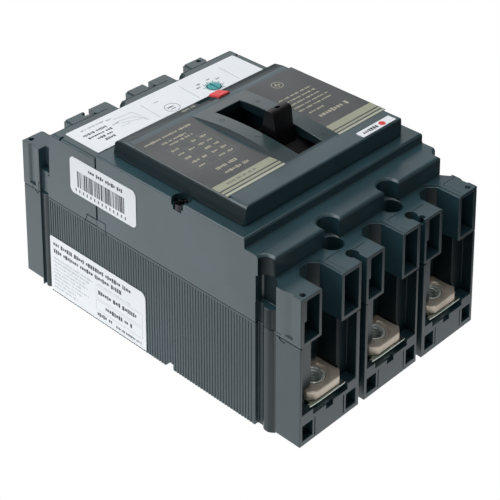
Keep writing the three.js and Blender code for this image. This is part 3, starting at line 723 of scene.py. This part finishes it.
def coil(c, axis, length, r, wire, turns, per=22, dead=1.2):
    """Helix round a centre line, with closed end turns."""
    axis = Vector(axis).normalized()
    u = axis.cross(Vector((1, 0, 0)))
    if u.length < 0.2:
        u = axis.cross(Vector((0, 1, 0)))
    u.normalize()
    v = axis.cross(u)
    n = int(turns * per)
    total = turns - 2 * dead
    pts = []
    for i in range(n + 1):
        t = i / per
        if t < dead:
            s = t * 2 * wire * 1.02
        elif t > turns - dead:
            s = length - (turns - t) * 2 * wire * 1.02
        else:
            s0 = dead * 2 * wire * 1.02
            s = s0 + (length - 2 * s0) * (t - dead) / total
        a = 2 * math.pi * t
        pts.append(Vector(c) + axis * (s - length / 2) + u * (r * math.cos(a)) + v * (r * math.sin(a)))
    return tube([tuple(p) for p in pts], wire, 10)


def threaded_rod(x, y, z0, z1, r0, r1, pitch, n=48):
    """Closed rod with a helical V thread, used to cut a tapped hole."""
    rows = int((z1 - z0) / pitch * 8)
    V, F = [], []
    for j in range(rows + 1):
        z = z0 + (z1 - z0) * j / rows
        for k in range(n):
            a = 2 * math.pi * k / n
            ph = ((z / pitch) - k / n) % 1.0
            tri = 1 - abs(2 * ph - 1)
            r = r0 + (r1 - r0) * min(1.0, max(0.0, tri * 1.25 - 0.125))
            V.append((x + r * math.cos(a), y + r * math.sin(a), z))
    for j in range(rows):
        for k in range(n):
            a, b = j * n + k, j * n + (k + 1) % n
            F.append((a, b, b + n, a + n))
    V += [(x, y, z0), (x, y, z1)]
    lo, hi = len(V) - 2, len(V) - 1
    for k in range(n):
        F.append((lo, (k + 1) % n, k))
        F.append((hi, rows * n + k, rows * n + (k + 1) % n))
    return V, F


def shade(o, angle=32):
    """Smooth faces with hard creases above the angle."""
    even_normals(o.data, angle)


# ------------------------------------------------------------------ terminals
def build_terminal(side, n, pc):
    s = 1 if side == "line" else -1
    y = s * 71.6
    o = from_node(f"{side}_terminal_{n}", f"{side}_bar_{n}", "tin", "case", 0.34,
                  cuts=[cyl("z", (pc, y), 4.96, 10, 30, 64), cyl("z", (pc, y), 5.3, 20.15, 21.2, 64, 7.1)], segments=4)
    # tapped square nut with a round collar, and its spring clip
    body = [(pc + a, y + b) for a, b in [(-6.3, -5.5), (-5.5, -6.3), (5.5, -6.3), (6.3, -5.5), (6.3, 5.5), (5.5, 6.3), (-5.5, 6.3), (-6.3, 5.5)]]
    nut = temp(f"{side}_tapped_nut_{n}", mesh_from("nut", *prism(body, 14.2, 16.5)))
    boolean(nut, cyl("z", (pc, y), 4.72, 16.2, 20.75, 64), "UNION")
    boolean(nut, cyl("z", (pc, y), 3.5, 20.05, 20.85, 64, 4.25), "DIFFERENCE")
    soften(nut, 0.22, 3, 30)
    boolean(nut, threaded_rod(pc, y, 13.5, 20.8, 3.3, 3.95, 1.25), "DIFFERENCE")
    nut.data.materials.clear()
    nut.data.materials.append(M["nut"])
    for p in nut.data.polygons:
        p.material_index = 0
    shade(nut, 40)
    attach(nut, "case")
    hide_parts(f"{side}_nut_{n}")
    lip = []
    m = 16
    for i in range(m + 1):
        x = -8.6 + 19.6 * i / m
        lip.append((pc + x, 17.02 + 0.42 * max(0.0, (x - 4) / 7) ** 2))
    prof = [(x, z + 0.26) for x, z in lip] + [(x, z - 0.26) for x, z in lip[::-1]]
    a, b = sorted((s * 78.9, s * 80.35))
    adds = [prism(prof, a, b, "y")]
    from_node(f"{side}_nut_clip_{n}", f"{side}_clip_{n}", "zinc", "case", 0.12, adds=adds,
              cuts=[cyl("z", (pc, y), 5.0, 10, 30, 64)], segments=2)


# ------------------------------------------------------------------ screws of the cover
def build_cover_screw(name, sx):
    x, y = sx * 49.9, 15.9
    o = temp(f"{name}_machined", mesh_from("screw", *cyl("z", (x, y), 2.7, 73.9, 76.35, 56)))
    boolean(o, cyl("z", (sx * 48.4, y), 1.3, 60.0, 74.2, 40), "UNION")
    # cross recess: two straight blades, with a cone at its centre
    for dx, dy in ((1, 0), (0, 1)):
        w, l = 0.36, 1.75
        p = [(x - (l if dx else w), y - (l if dy else w)), (x + (l if dx else w), y - (l if dy else w)), (x + (l if dx else w), y + (l if dy else w)), (x - (l if dx else w), y + (l if dy else w))]
        boolean(o, prism(p, 74.9, 77), "DIFFERENCE")
    boolean(o, cyl("z", (x, y), 0.5, 75.0, 76.8, 16, 0.95), "DIFFERENCE")
    soften(o, 0.3, 3, 26)
    o.data.materials.clear()
    o.data.materials.append(M["screw"])
    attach(o, "case")
    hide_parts(name)


# ------------------------------------------------------------------ printed films
_seed = [7]


def rnd():
    _seed[0] = (_seed[0] * 1103515245 + 12345) % 2147483648
    return _seed[0] / 2147483648


def greek(u0, u1, v, h, fill=0.86, seed=1, gap=0.2):
    """A line of print as plain blocks: word shaped groups, no letters. u runs along the line, v is its middle."""
    _seed[0] = seed * 7919 + 17
    out = []
    d = 1 if u1 > u0 else -1
    u = u0
    left = 3 + int(rnd() * 6)
    while (u1 - u) * d > 0.5 * h:
        w = h * (0.34 + 0.34 * rnd())
        k = 0.62 + 0.38 * (rnd() > 0.55)
        if (u + d * w - u1) * d > 0:
            break
        lo, hi = v - h / 2 * k, v + h / 2 * k
        a, b = sorted((u, u + d * w))
        out.append([(a, lo), (b, lo), (b, hi), (a, hi)])
        u += d * (w + gap * h)
        left -= 1
        if left <= 0:
            u += d * h * 0.55
            left = 2 + int(rnd() * 7)
    return out


def bar(u0, u1, v0, v1):
    return [(min(u0, u1), min(v0, v1)), (max(u0, u1), min(v0, v1)), (max(u0, u1), max(v0, v1)), (min(u0, u1), max(v0, v1))]


def seg(a, b, w):
    L = math.hypot(b[0] - a[0], b[1] - a[1])
    nx, ny = -(b[1] - a[1]) / L * w / 2, (b[0] - a[0]) / L * w / 2
    return [(a[0] + nx, a[1] + ny), (a[0] - nx, a[1] - ny), (b[0] - nx, b[1] - ny), (b[0] + nx, b[1] + ny)]


def frame_lines(u0, u1, v0, v1, w):
    return [bar(u0, u1, v0, v0 + w), bar(u0, u1, v1 - w, v1), bar(u0, u0 + w, v0 + w, v1 - w), bar(u1 - w, u1, v0 + w, v1 - w)]


def ring(c, r, w, n=36, a0=0.0, a1=2 * math.pi):
    out = []
    for i in range(n):
        p, q = a0 + (a1 - a0) * i / n, a0 + (a1 - a0) * (i + 1) / n
        out.append([(c[0] + (r + k) * math.cos(t), c[1] + (r + k) * math.sin(t)) for k, t in ((-w / 2, p), (w / 2, p), (w / 2, q), (-w / 2, q))])
    return out


def disc(c, r, n=32):
    return [(c[0] + r * math.cos(2 * math.pi * i / n), c[1] + r * math.sin(2 * math.pi * i / n)) for i in range(n)]


def print_top(name, polys, mat, height, thick=0.03, body="case"):
    """Ink or film on a surface facing +Z; height(x, y) is the surface in mm."""
    V, F = [], []
    for p in polys:
        if sum(a[0] * b[1] - b[0] * a[1] for a, b in zip(p, p[1:] + p[:1])) < 0:
            p = p[::-1]
        k, n = len(V), len(p)
        V += [(x, y, height(x, y) - 0.012) for x, y in p] + [(x, y, height(x, y) + thick) for x, y in p]
        F += [tuple(range(k, k + n))[::-1], tuple(range(k + n, k + 2 * n))]
        F += [(k + i, k + (i + 1) % n, k + n + (i + 1) % n, k + n + i) for i in range(n)]
    return obj(name, mesh_from(name, V, F), mat, body)


def print_side(name, polys, mat, x, thick=0.03):
    """Ink on a surface facing +X; polygons are (y, z)."""
    return obj(name, mesh_from(name, *join([prism(p, x - 0.012, x + thick, "x") for p in polys])), mat, "case")


def rounded(u0, u1, v0, v1, r, n=6):
    """Rounded rectangle; r is one radius or four, from the low corner round."""
    rs = r if isinstance(r, (tuple, list)) else (r,) * 4
    out = []
    for (cu, cv, a0), q in zip(((u0, v0, 180), (u1, v0, 270), (u1, v1, 0), (u0, v1, 90)), rs):
        su = 1 if cu == u0 else -1
        sv = 1 if cv == v0 else -1
        for i in range(n + 1):
            a = math.radians(a0 + 90 * i / n)
            out.append((cu + su * q + q * math.cos(a), cv + sv * q + q * math.sin(a)))
    return out


def flat_piece(name, node, pts, a0, a1, axis, mat, hole=None, width=0.06):
    o = temp(name, mesh_from(name, *prism(pts, a0, a1, axis)))
    if hole:
        boolean(o, hole, "DIFFERENCE")
    soften(o, width, 2, 30)
    o.data.materials.clear()
    o.data.materials.append(M[mat])
    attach(o, "case")
    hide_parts(node)
    return o


def build_labels():
    # film over the trip unit, with the printing round the dial
    flat_piece("trip_film", "trip_setting_label", rounded(-49, 49, -55.6, -34.4, 0.6), 76.52, 76.8, "z", "white", cyl("z", (-22.6, -40.6), 3.5, 70, 80, 48))
    top = lambda x, y: 76.8
    black = []
    black += greek(45.2, 32.6, -48.4, 1.5, seed=3) + greek(44.6, 31.6, -45.6, 1.5, seed=4) + greek(42.0, 33.0, -42.9, 1.5, seed=5) + greek(40.0, 34.0, -40.2, 1.5, seed=6)
    black += ring((2.9, -40.1), 3.4, 0.22, 48) + greek(5.0, 0.8, -40.8, 1.0, seed=9) + greek(4.4, 1.6, -39.0, 0.8, seed=10)
    black += greek(-15.6, -18.0, -44.4, 0.9, seed=11) + greek(-17.6, -20.2, -46.6, 0.9, seed=12) + greek(-24.0, -26.4, -47.0, 0.9, seed=13) + greek(-27.6, -30.2, -44.6, 0.9, seed=14)
    print_top("trip_film_print_dark", black, "ink_black", top)
    grey = []
    for x in (11.6, -11.4, -35.8):
        grey.append(seg((x - 0.4, -51.4), (x + 0.5, -37.4), 0.22))
    grey += [seg((27.5, -50.2), (17.6, -49.4), 0.2), seg((17.6, -49.4), (16.9, -39.6), 0.2), seg((28.4, -48.0), (19.6, -46.2), 0.2), seg((19.6, -46.2), (16.6, -39.8), 0.2), seg((27.0, -45.8), (18.4, -42.4), 0.2), seg((28.8, -43.6), (24.0, -43.2), 0.2)]
    grey += greek(43.6, 31.0, -52.3, 0.9, seed=15) + greek(30.2, 26.6, -51.6, 0.8, seed=16) + greek(30.4, 27.0, -47.0, 0.8, seed=17) + greek(6.2, 3.4, -48.4, 1.0, seed=18)
    grey += [bar(-50.4, -47.8, -53.2, -52.8), bar(-50.4, -47.8, -52.2, -51.8)][:0]
    print_top("trip_film_print_grey", grey, "ink_grey", top)
    teal = []
    for k in range(7):
        a = math.radians(-20 - 35 * k)
        c, s = math.cos(a), math.sin(a)
        teal.append(seg((-22.6 + 3.9 * c, -40.6 + 3.9 * s), (-22.6 + 5.1 * c, -40.6 + 5.1 * s), 0.42))
    teal += ring((-22.6, -40.6), 3.95, 0.3, 48)
    print_top("trip_film_print_teal", teal, "ink_teal", top)

    # dark foil of the two plates of the raised cover, and the printing on it
    foil = lambda x, y: 85.99
    print_top("plate_foil", [[(46.2, -16.4), (46.2, 37.2), (13.4, 37.2), (14.6, 20.0), (15.0, 10.0), (14.9, -2.0), (14.3, -16.4)],
                             [(-46.2, -16.4), (-46.2, 37.4), (-15.0, 37.4), (-16.2, 20.0), (-16.6, 10.0), (-16.5, -2.0), (-15.9, -16.4)]],
              "plate", foil, 0.025)
    flat = lambda x, y: 86.01
    cream, dim = [], []
    cream += greek(43.4, 17.6, -12.4, 1.5, seed=21)
    cream += greek(37.4, 24.2, -8.6, 1.35, seed=22) + greek(35.6, 22.8, -6.2, 1.35, seed=23)
    t = (39.4, 18.2, -3.9, 15.6)
    dim += frame_lines(t[1], t[0], t[2], t[3], 0.16)
    for k in range(1, 5):
        y = t[2] + (t[3] - t[2]) * k / 5
        dim.append(bar(t[1] + 0.16, t[0] - 0.16, y - 0.08, y + 0.08))
    for x in (33.6, 28.6, 23.6):
        for k in range(5):
            y0 = t[2] + 0.2 + (t[3] - t[2]) * k / 5
            dim.append(bar(x - 0.08, x + 0.08, y0 + 0.06, y0 + (t[3] - t[2]) / 5 - 0.3))
    for k in range(5):
        y = t[2] + (t[3] - t[2]) * (k + 0.5) / 5
        cream += greek(38.4, 34.6, y, 1.5, seed=30 + k) + greek(27.6, 24.4, y, 1.5, seed=40 + k) + greek(22.8, 19.2, y, 1.5, seed=50 + k)
        if k in (1, 3):
            cream += greek(32.8, 29.6, y, 1.4, seed=60 + k)
    cream += greek(35.2, 23.2, 19.9, 1.7, seed=71) + greek(34.6, 21.8, 24.2, 1.7, seed=72)
    for k, y in enumerate((1.2, 4.1, 7.0, 9.9, 12.8)):
        cream += greek(-19.8, -40.6 + (k % 3), y, 1.15, seed=80 + k)
    cream += greek(-23.0, -41.0, 21.4, 2.7, seed=90) + greek(-22.0, -32.0, 16.6, 1.3, seed=91)
    cream += ring((-30.0, -9.4), 2.6, 0.35, 36) + [bar(-31.4, -28.6, -9.8, -9.0), bar(-30.3, -29.7, -11.1, -7.7)]
    print_top("cover_print_cream", cream, "ink_cream", flat)
    print_top("cover_print_lines", dim, "ink_dim", flat)
    print_top("cover_stripes", [[(14.4, 28.3), (46.0, 28.3), (46.0, 32.4), (13.9, 32.4)], [(13.9, 33.2), (46.0, 33.2), (46.0, 34.5), (13.5, 34.5)],
                                [(-15.6, 28.9), (-15.3, 33.0), (-46.0, 33.0), (-46.0, 28.9)], [(-15.3, 33.8), (-15.1, 35.0), (-46.0, 35.0), (-46.0, 33.8)]],
              "ink_olive", flat)
    print_top("cover_stripes_pale", [[(13.4, 35.3), (46.0, 35.3), (46.0, 36.6), (13.0, 36.6)], [(-15.1, 35.8), (-14.9, 37.0), (-46.0, 37.0), (-46.0, 35.8)]],
              "ink_olive2", flat)
    dots = greek(40.0, 24.0, 30.35, 1.3, seed=95)
    print_top("stripe_print", dots, "ink_dim", lambda x, y: 86.04)
    # position marks on the escutcheon: plain ring and bar
    cr = lambda x, y: crown(y)
    marks = ring((9.1, -3.4), 1.0, 0.26, 28) + [seg((9.6, 15.4), (8.2, 17.6), 0.3)] + ring((-12.1, -3.6), 0.9, 0.24, 28) + [seg((-12.0, 31.8), (-12.8, 33.6), 0.28)]
    print_top("escutcheon_marks", marks, "ink_black", cr)
    # words on the sloped band
    slope = lambda x, y: 84.2 + (y + 26.2) * (1.8 / 6.8)
    print_top("band_print", greek(12.8, 5.2, -23.4, 1.7, seed=101), "ink_cream", slope)

    # small plate at the corner of the cover
    flat_piece("badge_film", "badge_plate", rounded(-42.6, -22.2, 41.6, 45.9, (0.5, 0.5, 0.5, 0.5)), 86.02, 86.35, "z", "white")
    bz = lambda x, y: 86.35
    print_top("badge_dot", [disc((-35.9, 43.9), 1.55)], "ink_red", bz)
    print_top("badge_strip", greek(-24.4, -33.2, 43.8, 1.9, seed=103), "ink_black", bz)

    # stickers of the long wall
    X = 52.72
    flat_piece("barcode_card", "barcode_sticker", rounded(-48.6, -7.9, 55.0, 71.6, (2.4, 2.4, 2.4, 2.4), 8), 52.52, X, "x", "white")
    bars = []
    _seed[0] = 4242
    y = -43.9
    while y < -15.2:
        w = 0.22 + 0.2 * int(rnd() * 4)
        bars.append(bar(y, min(y + w, -14.9), 58.7, 66.0))
        y += w + 0.24 + 0.2 * int(rnd() * 3)
    bars += greek(-36.8, -15.4, 68.6, 1.7, seed=111)
    y = -45.2
    while y < -14.5:
        bars.append(bar(y, y + 0.62, 56.4, 57.7))
        y += 2.35
    print_side("barcode_card_print", bars, "ink_black", X)

    flat_piece("rating_card", "rating_sticker", rounded(-63.8, -3.4, 0.8, 27.3, (0.4, 0.4, 3.0, 1.0), 8), 52.52, X, "x", "white")
    dark = greek(-61.6, -12.4, 24.0, 1.9, seed=121) + greek(-61.4, -16.2, 20.7, 1.9, seed=122)
    dark += greek(-32.8, -7.2, 14.1, 1.9, seed=123) + greek(-28.4, -11.4, 8.1, 1.9, seed=124)
    dark += greek(-21.8, -5.8, 2.9, 1.0, seed=125) + greek(-33.6, -23.4, 3.5, 1.9, seed=126)
    print_side("rating_card_print", dark, "ink_black", X)
    soft = []
    for k in range(9):
        z = 17.2 - k * 1.75
        e = (-36.4, -38.0, -41.0, -39.5, -44.0, -38.4, -43.0, -47.5, -46.0)[k]
        soft += greek(-61.6, e, z, 0.95, seed=130 + k)
    soft += frame_lines(-34.2, -5.4, 11.0, 16.9, 0.16) + frame_lines(-34.2, -5.4, 5.4, 10.2, 0.16)
    soft += greek(-33.4, -9.0, 10.75, 0.5, seed=141)[:0] + greek(-33.2, -12.0, 17.9, 0.7, seed=142)
    print_side("rating_card_lines", soft, "ink_pale", X)


# ------------------------------------------------------------------ springs and braids
def build_soft_metal():
    for n, x in (("left", HX - 6.2), ("right", HX + 6.2)):
        lo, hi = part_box(f"main_spring_{n}")
        c = (lo + hi) / 2 / MM
        o = obj(f"main_spring_coil_{n}", mesh_from("coil", *coil(tuple(c), (0, math.sin(0.28), math.cos(0.28)), 19.4, 1.38, 0.29, 18)), "zinc", "handle")
        shade(o, 60)
        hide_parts(f"main_spring_{n}")
    o = obj("button_spring_coil", mesh_from("coil", *coil((-8.0, -22.0, 76.3), (0, 0, 1), 7.2, 2.68, 0.27, 6.5)), "zinc", "case")
    shade(o, 60)
    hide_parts("button_spring")
    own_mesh(o)
    # flat braids: crossing strands over the arm's tail
    line = [(-29.8, 22.6), (-24, 22.65), (-20.5, 23.2), (-17.4, 24.0), (-14.2, 25.3), (-11.4, 27.0), (-8.8, 28.8), (-6.4, 30.2)]
    for n, p in enumerate(POLES, 1):
        parts = []
        for k in range(8):
            path = []
            m = 44
            for i in range(m + 1):
                t = i / m * (len(line) - 1)
                j = min(int(t), len(line) - 2)
                f = t - j
                y = line[j][0] * (1 - f) + line[j + 1][0] * f
                z = line[j][1] * (1 - f) + line[j + 1][1] * f
                ph = 2 * math.pi * (i / m * 3.5) + k * math.pi / 4
                path.append((p + 2.45 * math.sin(ph), y, z + 0.55 * math.cos(ph)))
            parts.append(tube(path, 0.34, 8))
        o = obj(f"braid_weave_{n}", mesh_from("braid", *join(parts)), "copper", None)
        shade(o, 60)
        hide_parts(f"flexible_braid_{n}")
        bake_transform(o)


# ------------------------------------------------------------------ working parts inside
def build_inside():
    for n, p in enumerate(POLES, 1):
        o = from_node(f"moving_contact_{n}", f"contact_arm_{n}", "copper", "contacts", 0.28)
        o = from_node(f"arc_chute_{n}", f"arc_chute_stack_{n}", "fibre", "case", 0.12, segments=2)
        paint(o, "steel", lambda c, n, p=p: abs(c.x - p) < 9.55)
        from_node(f"bimetal_{n}", f"bimetal_strip_{n}", "steel", "case", 0.12, segments=2)
        from_node(f"magnet_yoke_{n}", f"magnet_core_{n}", "steel", "case", 0.3)
        from_node(f"armature_{n}", f"armature_plate_{n}", "steel", f"armature_{n}", 0.2)
    from_node("contact_crossbar", "crossbar_moulding", "inner", "contacts", 0.35)
    from_node("trip_bar", "trip_bar_moulding", "inner", "trip_bar", 0.3)
    for s in ("left", "right"):
        from_node(f"mechanism_plate_{s}", f"mechanism_cheek_{s}", "zinc", "case", 0.22)
    from_node("handle_fork", "handle_yoke", "zinc", "handle", 0.25)
    from_node("cradle", "cradle_plate", "screw", "cradle", 0.2)
    from_node("latch_lever", "latch_plate", "screw", "latch", 0.25)
    from_node("drive_link", "drive_link_plate", "steel", "contacts", 0.25)
    cap = from_node("trip_button", "trip_button_cap", "red", "trip_button", 0.45, segments=4)
    for v in cap.data.vertices:
        if v.co.z > 0.0825:
            v.co.z += 0.0008
    from_node("adjustment_dial", "dial_knob", "teal", "dial", 0.22, segments=4)


build_base()
build_main_cover()
build_trip_housing()
build_front_cover()
build_toggle()
for n, pc in enumerate(PADS, 1):
    for side in ("line", "load"):
        build_terminal(side, n, pc)
build_cover_screw("cover_screw_left", 1)
build_cover_screw("cover_screw_right", -1)
build_labels()
build_soft_metal()
build_inside()


# ------------------------------------------------------------------ camera, floor, light
def camera():
    cd = bpy.data.cameras.new("camera")
    cam = bpy.data.objects.new("camera", cd)
    SC.collection.objects.link(cam)
    right, up, back = (-0.689072, 0.724683, 0.003676), (-0.200593, -0.195605, 0.959948), (0.696378, 0.660737, 0.280152)
    m = Matrix((right, up, back)).transposed().to_4x4()
    m.translation = (0.408432, 0.403148, 0.408455)
    cam.matrix_world = m
    cd.sensor_width, cd.lens = 36.0, 112.336
    cd.clip_start, cd.clip_end = 0.02, 60
    # the picture is the lower part of a taller one: the lens is shifted, for this place of the camera only
    for path, value in (("shift_x", -0.04533), ("shift_y", -0.98752)):
        d = cd.driver_add(path).driver
        d.type = "SCRIPTED"
        v = d.variables.new()
        v.name, v.type = "x", "SINGLE_PROP"
        v.targets[0].id = cam
        v.targets[0].data_path = "location[0]"
        d.expression = f"{value} if abs(x - 0.408432) < 0.001 else 0"
    SC.camera = cam


def facing(t, vec, direction, f0, f1, lo, hi):
    """Value that runs lo..hi as the vector turns toward a direction."""
    dot = t.nodes.new("ShaderNodeVectorMath")
    dot.operation = "DOT_PRODUCT"
    dot.inputs[1].default_value = direction
    t.links.new(vec, dot.inputs[0])
    mr = t.nodes.new("ShaderNodeMapRange")
    mr.inputs["From Min"].default_value, mr.inputs["From Max"].default_value = f0, f1
    mr.inputs["To Min"].default_value, mr.inputs["To Max"].default_value = lo, hi
    t.links.new(dot.outputs["Value"], mr.inputs["Value"])
    return mr.outputs["Result"]


FLOOR_LO, FLOOR_HI = 0.74, 1.18             # light sent back by the white sheet: toward +Y, toward +X-Y
FLOOR_MID = (0.04, -0.05, 0)                # middle of the lit part of the sheet
FLOOR_NEAR, FLOOR_FAR = 0.168, 0.240        # and how far it reaches
SKY_LO, SKY_HI = 0.15, 1.15                 # light of the room: from +X+Y, from -X-Y and above


def stage():
    me = bpy.data.meshes.new("floor")
    me.from_pydata([(-6, -6, 0), (6, -6, 0), (6, 6, 0), (-6, 6, 0)], [], [(0, 1, 2, 3)])
    o = bpy.data.objects.new("floor", me)
    SC.collection.objects.link(o)
    o.location.z = -0.0003
    m = bpy.data.materials.new("floor_sheet")
    m.use_nodes = True
    t = m.node_tree
    t.nodes.clear()
    out = t.nodes.new("ShaderNodeOutputMaterial")
    mix = t.nodes.new("ShaderNodeMixShader")
    seen = t.nodes.new("ShaderNodeEmission")
    sent = t.nodes.new("ShaderNodeEmission")
    lp = t.nodes.new("ShaderNodeLightPath")
    geo = t.nodes.new("ShaderNodeNewGeometry")
    seen.inputs["Strength"].default_value = 1.0
    far = t.nodes.new("ShaderNodeVectorMath")
    far.operation = "LENGTH"
    off = t.nodes.new("ShaderNodeVectorMath")
    off.operation = "SUBTRACT"
    off.inputs[1].default_value = FLOOR_MID
    t.links.new(geo.outputs["Position"], off.inputs[0])
    t.links.new(off.outputs["Vector"], far.inputs[0])
    fade = t.nodes.new("ShaderNodeMapRange")
    fade.inputs["From Min"].default_value, fade.inputs["From Max"].default_value = FLOOR_NEAR, FLOOR_FAR
    fade.inputs["To Min"].default_value, fade.inputs["To Max"].default_value = 1.0, 0.07
    t.links.new(far.outputs["Value"], fade.inputs["Value"])
    both = t.nodes.new("ShaderNodeMath")
    both.operation = "MULTIPLY"
    t.links.new(facing(t, geo.outputs["Position"], (0.75, -0.66, 0), -0.12, 0.12, FLOOR_LO, FLOOR_HI), both.inputs[0])
    t.links.new(fade.outputs["Result"], both.inputs[1])
    t.links.new(both.outputs[0], sent.inputs["Strength"])
    t.links.new(lp.outputs["Is Camera Ray"], mix.inputs["Fac"])
    t.links.new(sent.outputs[0], mix.inputs[1])
    t.links.new(seen.outputs[0], mix.inputs[2])
    t.links.new(mix.outputs[0], out.inputs["Surface"])
    me.materials.append(m)

    w = bpy.data.worlds.new("studio")
    SC.world = w
    w.use_nodes = True
    t = w.node_tree
    t.nodes.clear()
    out = t.nodes.new("ShaderNodeOutputWorld")
    cam_bg = t.nodes.new("ShaderNodeBackground")
    cam_bg.inputs["Color"].default_value = (1, 1, 1, 1)
    cam_bg.inputs["Strength"].default_value = 1.0
    fill = t.nodes.new("ShaderNodeBackground")
    fill.inputs["Color"].default_value = (1, 1, 1, 1)
    lp = t.nodes.new("ShaderNodeLightPath")
    co = t.nodes.new("ShaderNodeTexCoord")
    t.links.new(facing(t, co.outputs["Generated"], SKY_DIR, 0.935, 0.995, SKY_LO, SKY_HI), fill.inputs["Strength"])
    mx = t.nodes.new("ShaderNodeMixShader")
    t.links.new(lp.outputs["Is Camera Ray"], mx.inputs["Fac"])
    t.links.new(fill.outputs[0], mx.inputs[1])
    t.links.new(cam_bg.outputs[0], mx.inputs[2])
    t.links.new(mx.outputs[0], out.inputs["Surface"])


SKY_DIR = (-0.5624, -0.7199, 0.4067)


def lamp(name, loc, target, size, power, size_y=None):
    d = bpy.data.lights.new(name, "AREA")
    d.energy = power
    d.size = size
    if size_y:
        d.shape, d.size_y = "RECTANGLE", size_y
    o = bpy.data.objects.new(name, d)
    SC.collection.objects.link(o)
    o.location = loc
    o.rotation_euler = (Vector(target) - Vector(loc)).to_track_quat("-Z", "Y").to_euler()
    return o


camera()
stage()
lamp("top", (0.05, -0.05, 1.05), (0, 0, 0.05), 0.8, 6.6)
lamp("side", (0.97, -0.42, 0.62), (0, 0, 0.04), 1.1, 8.5)
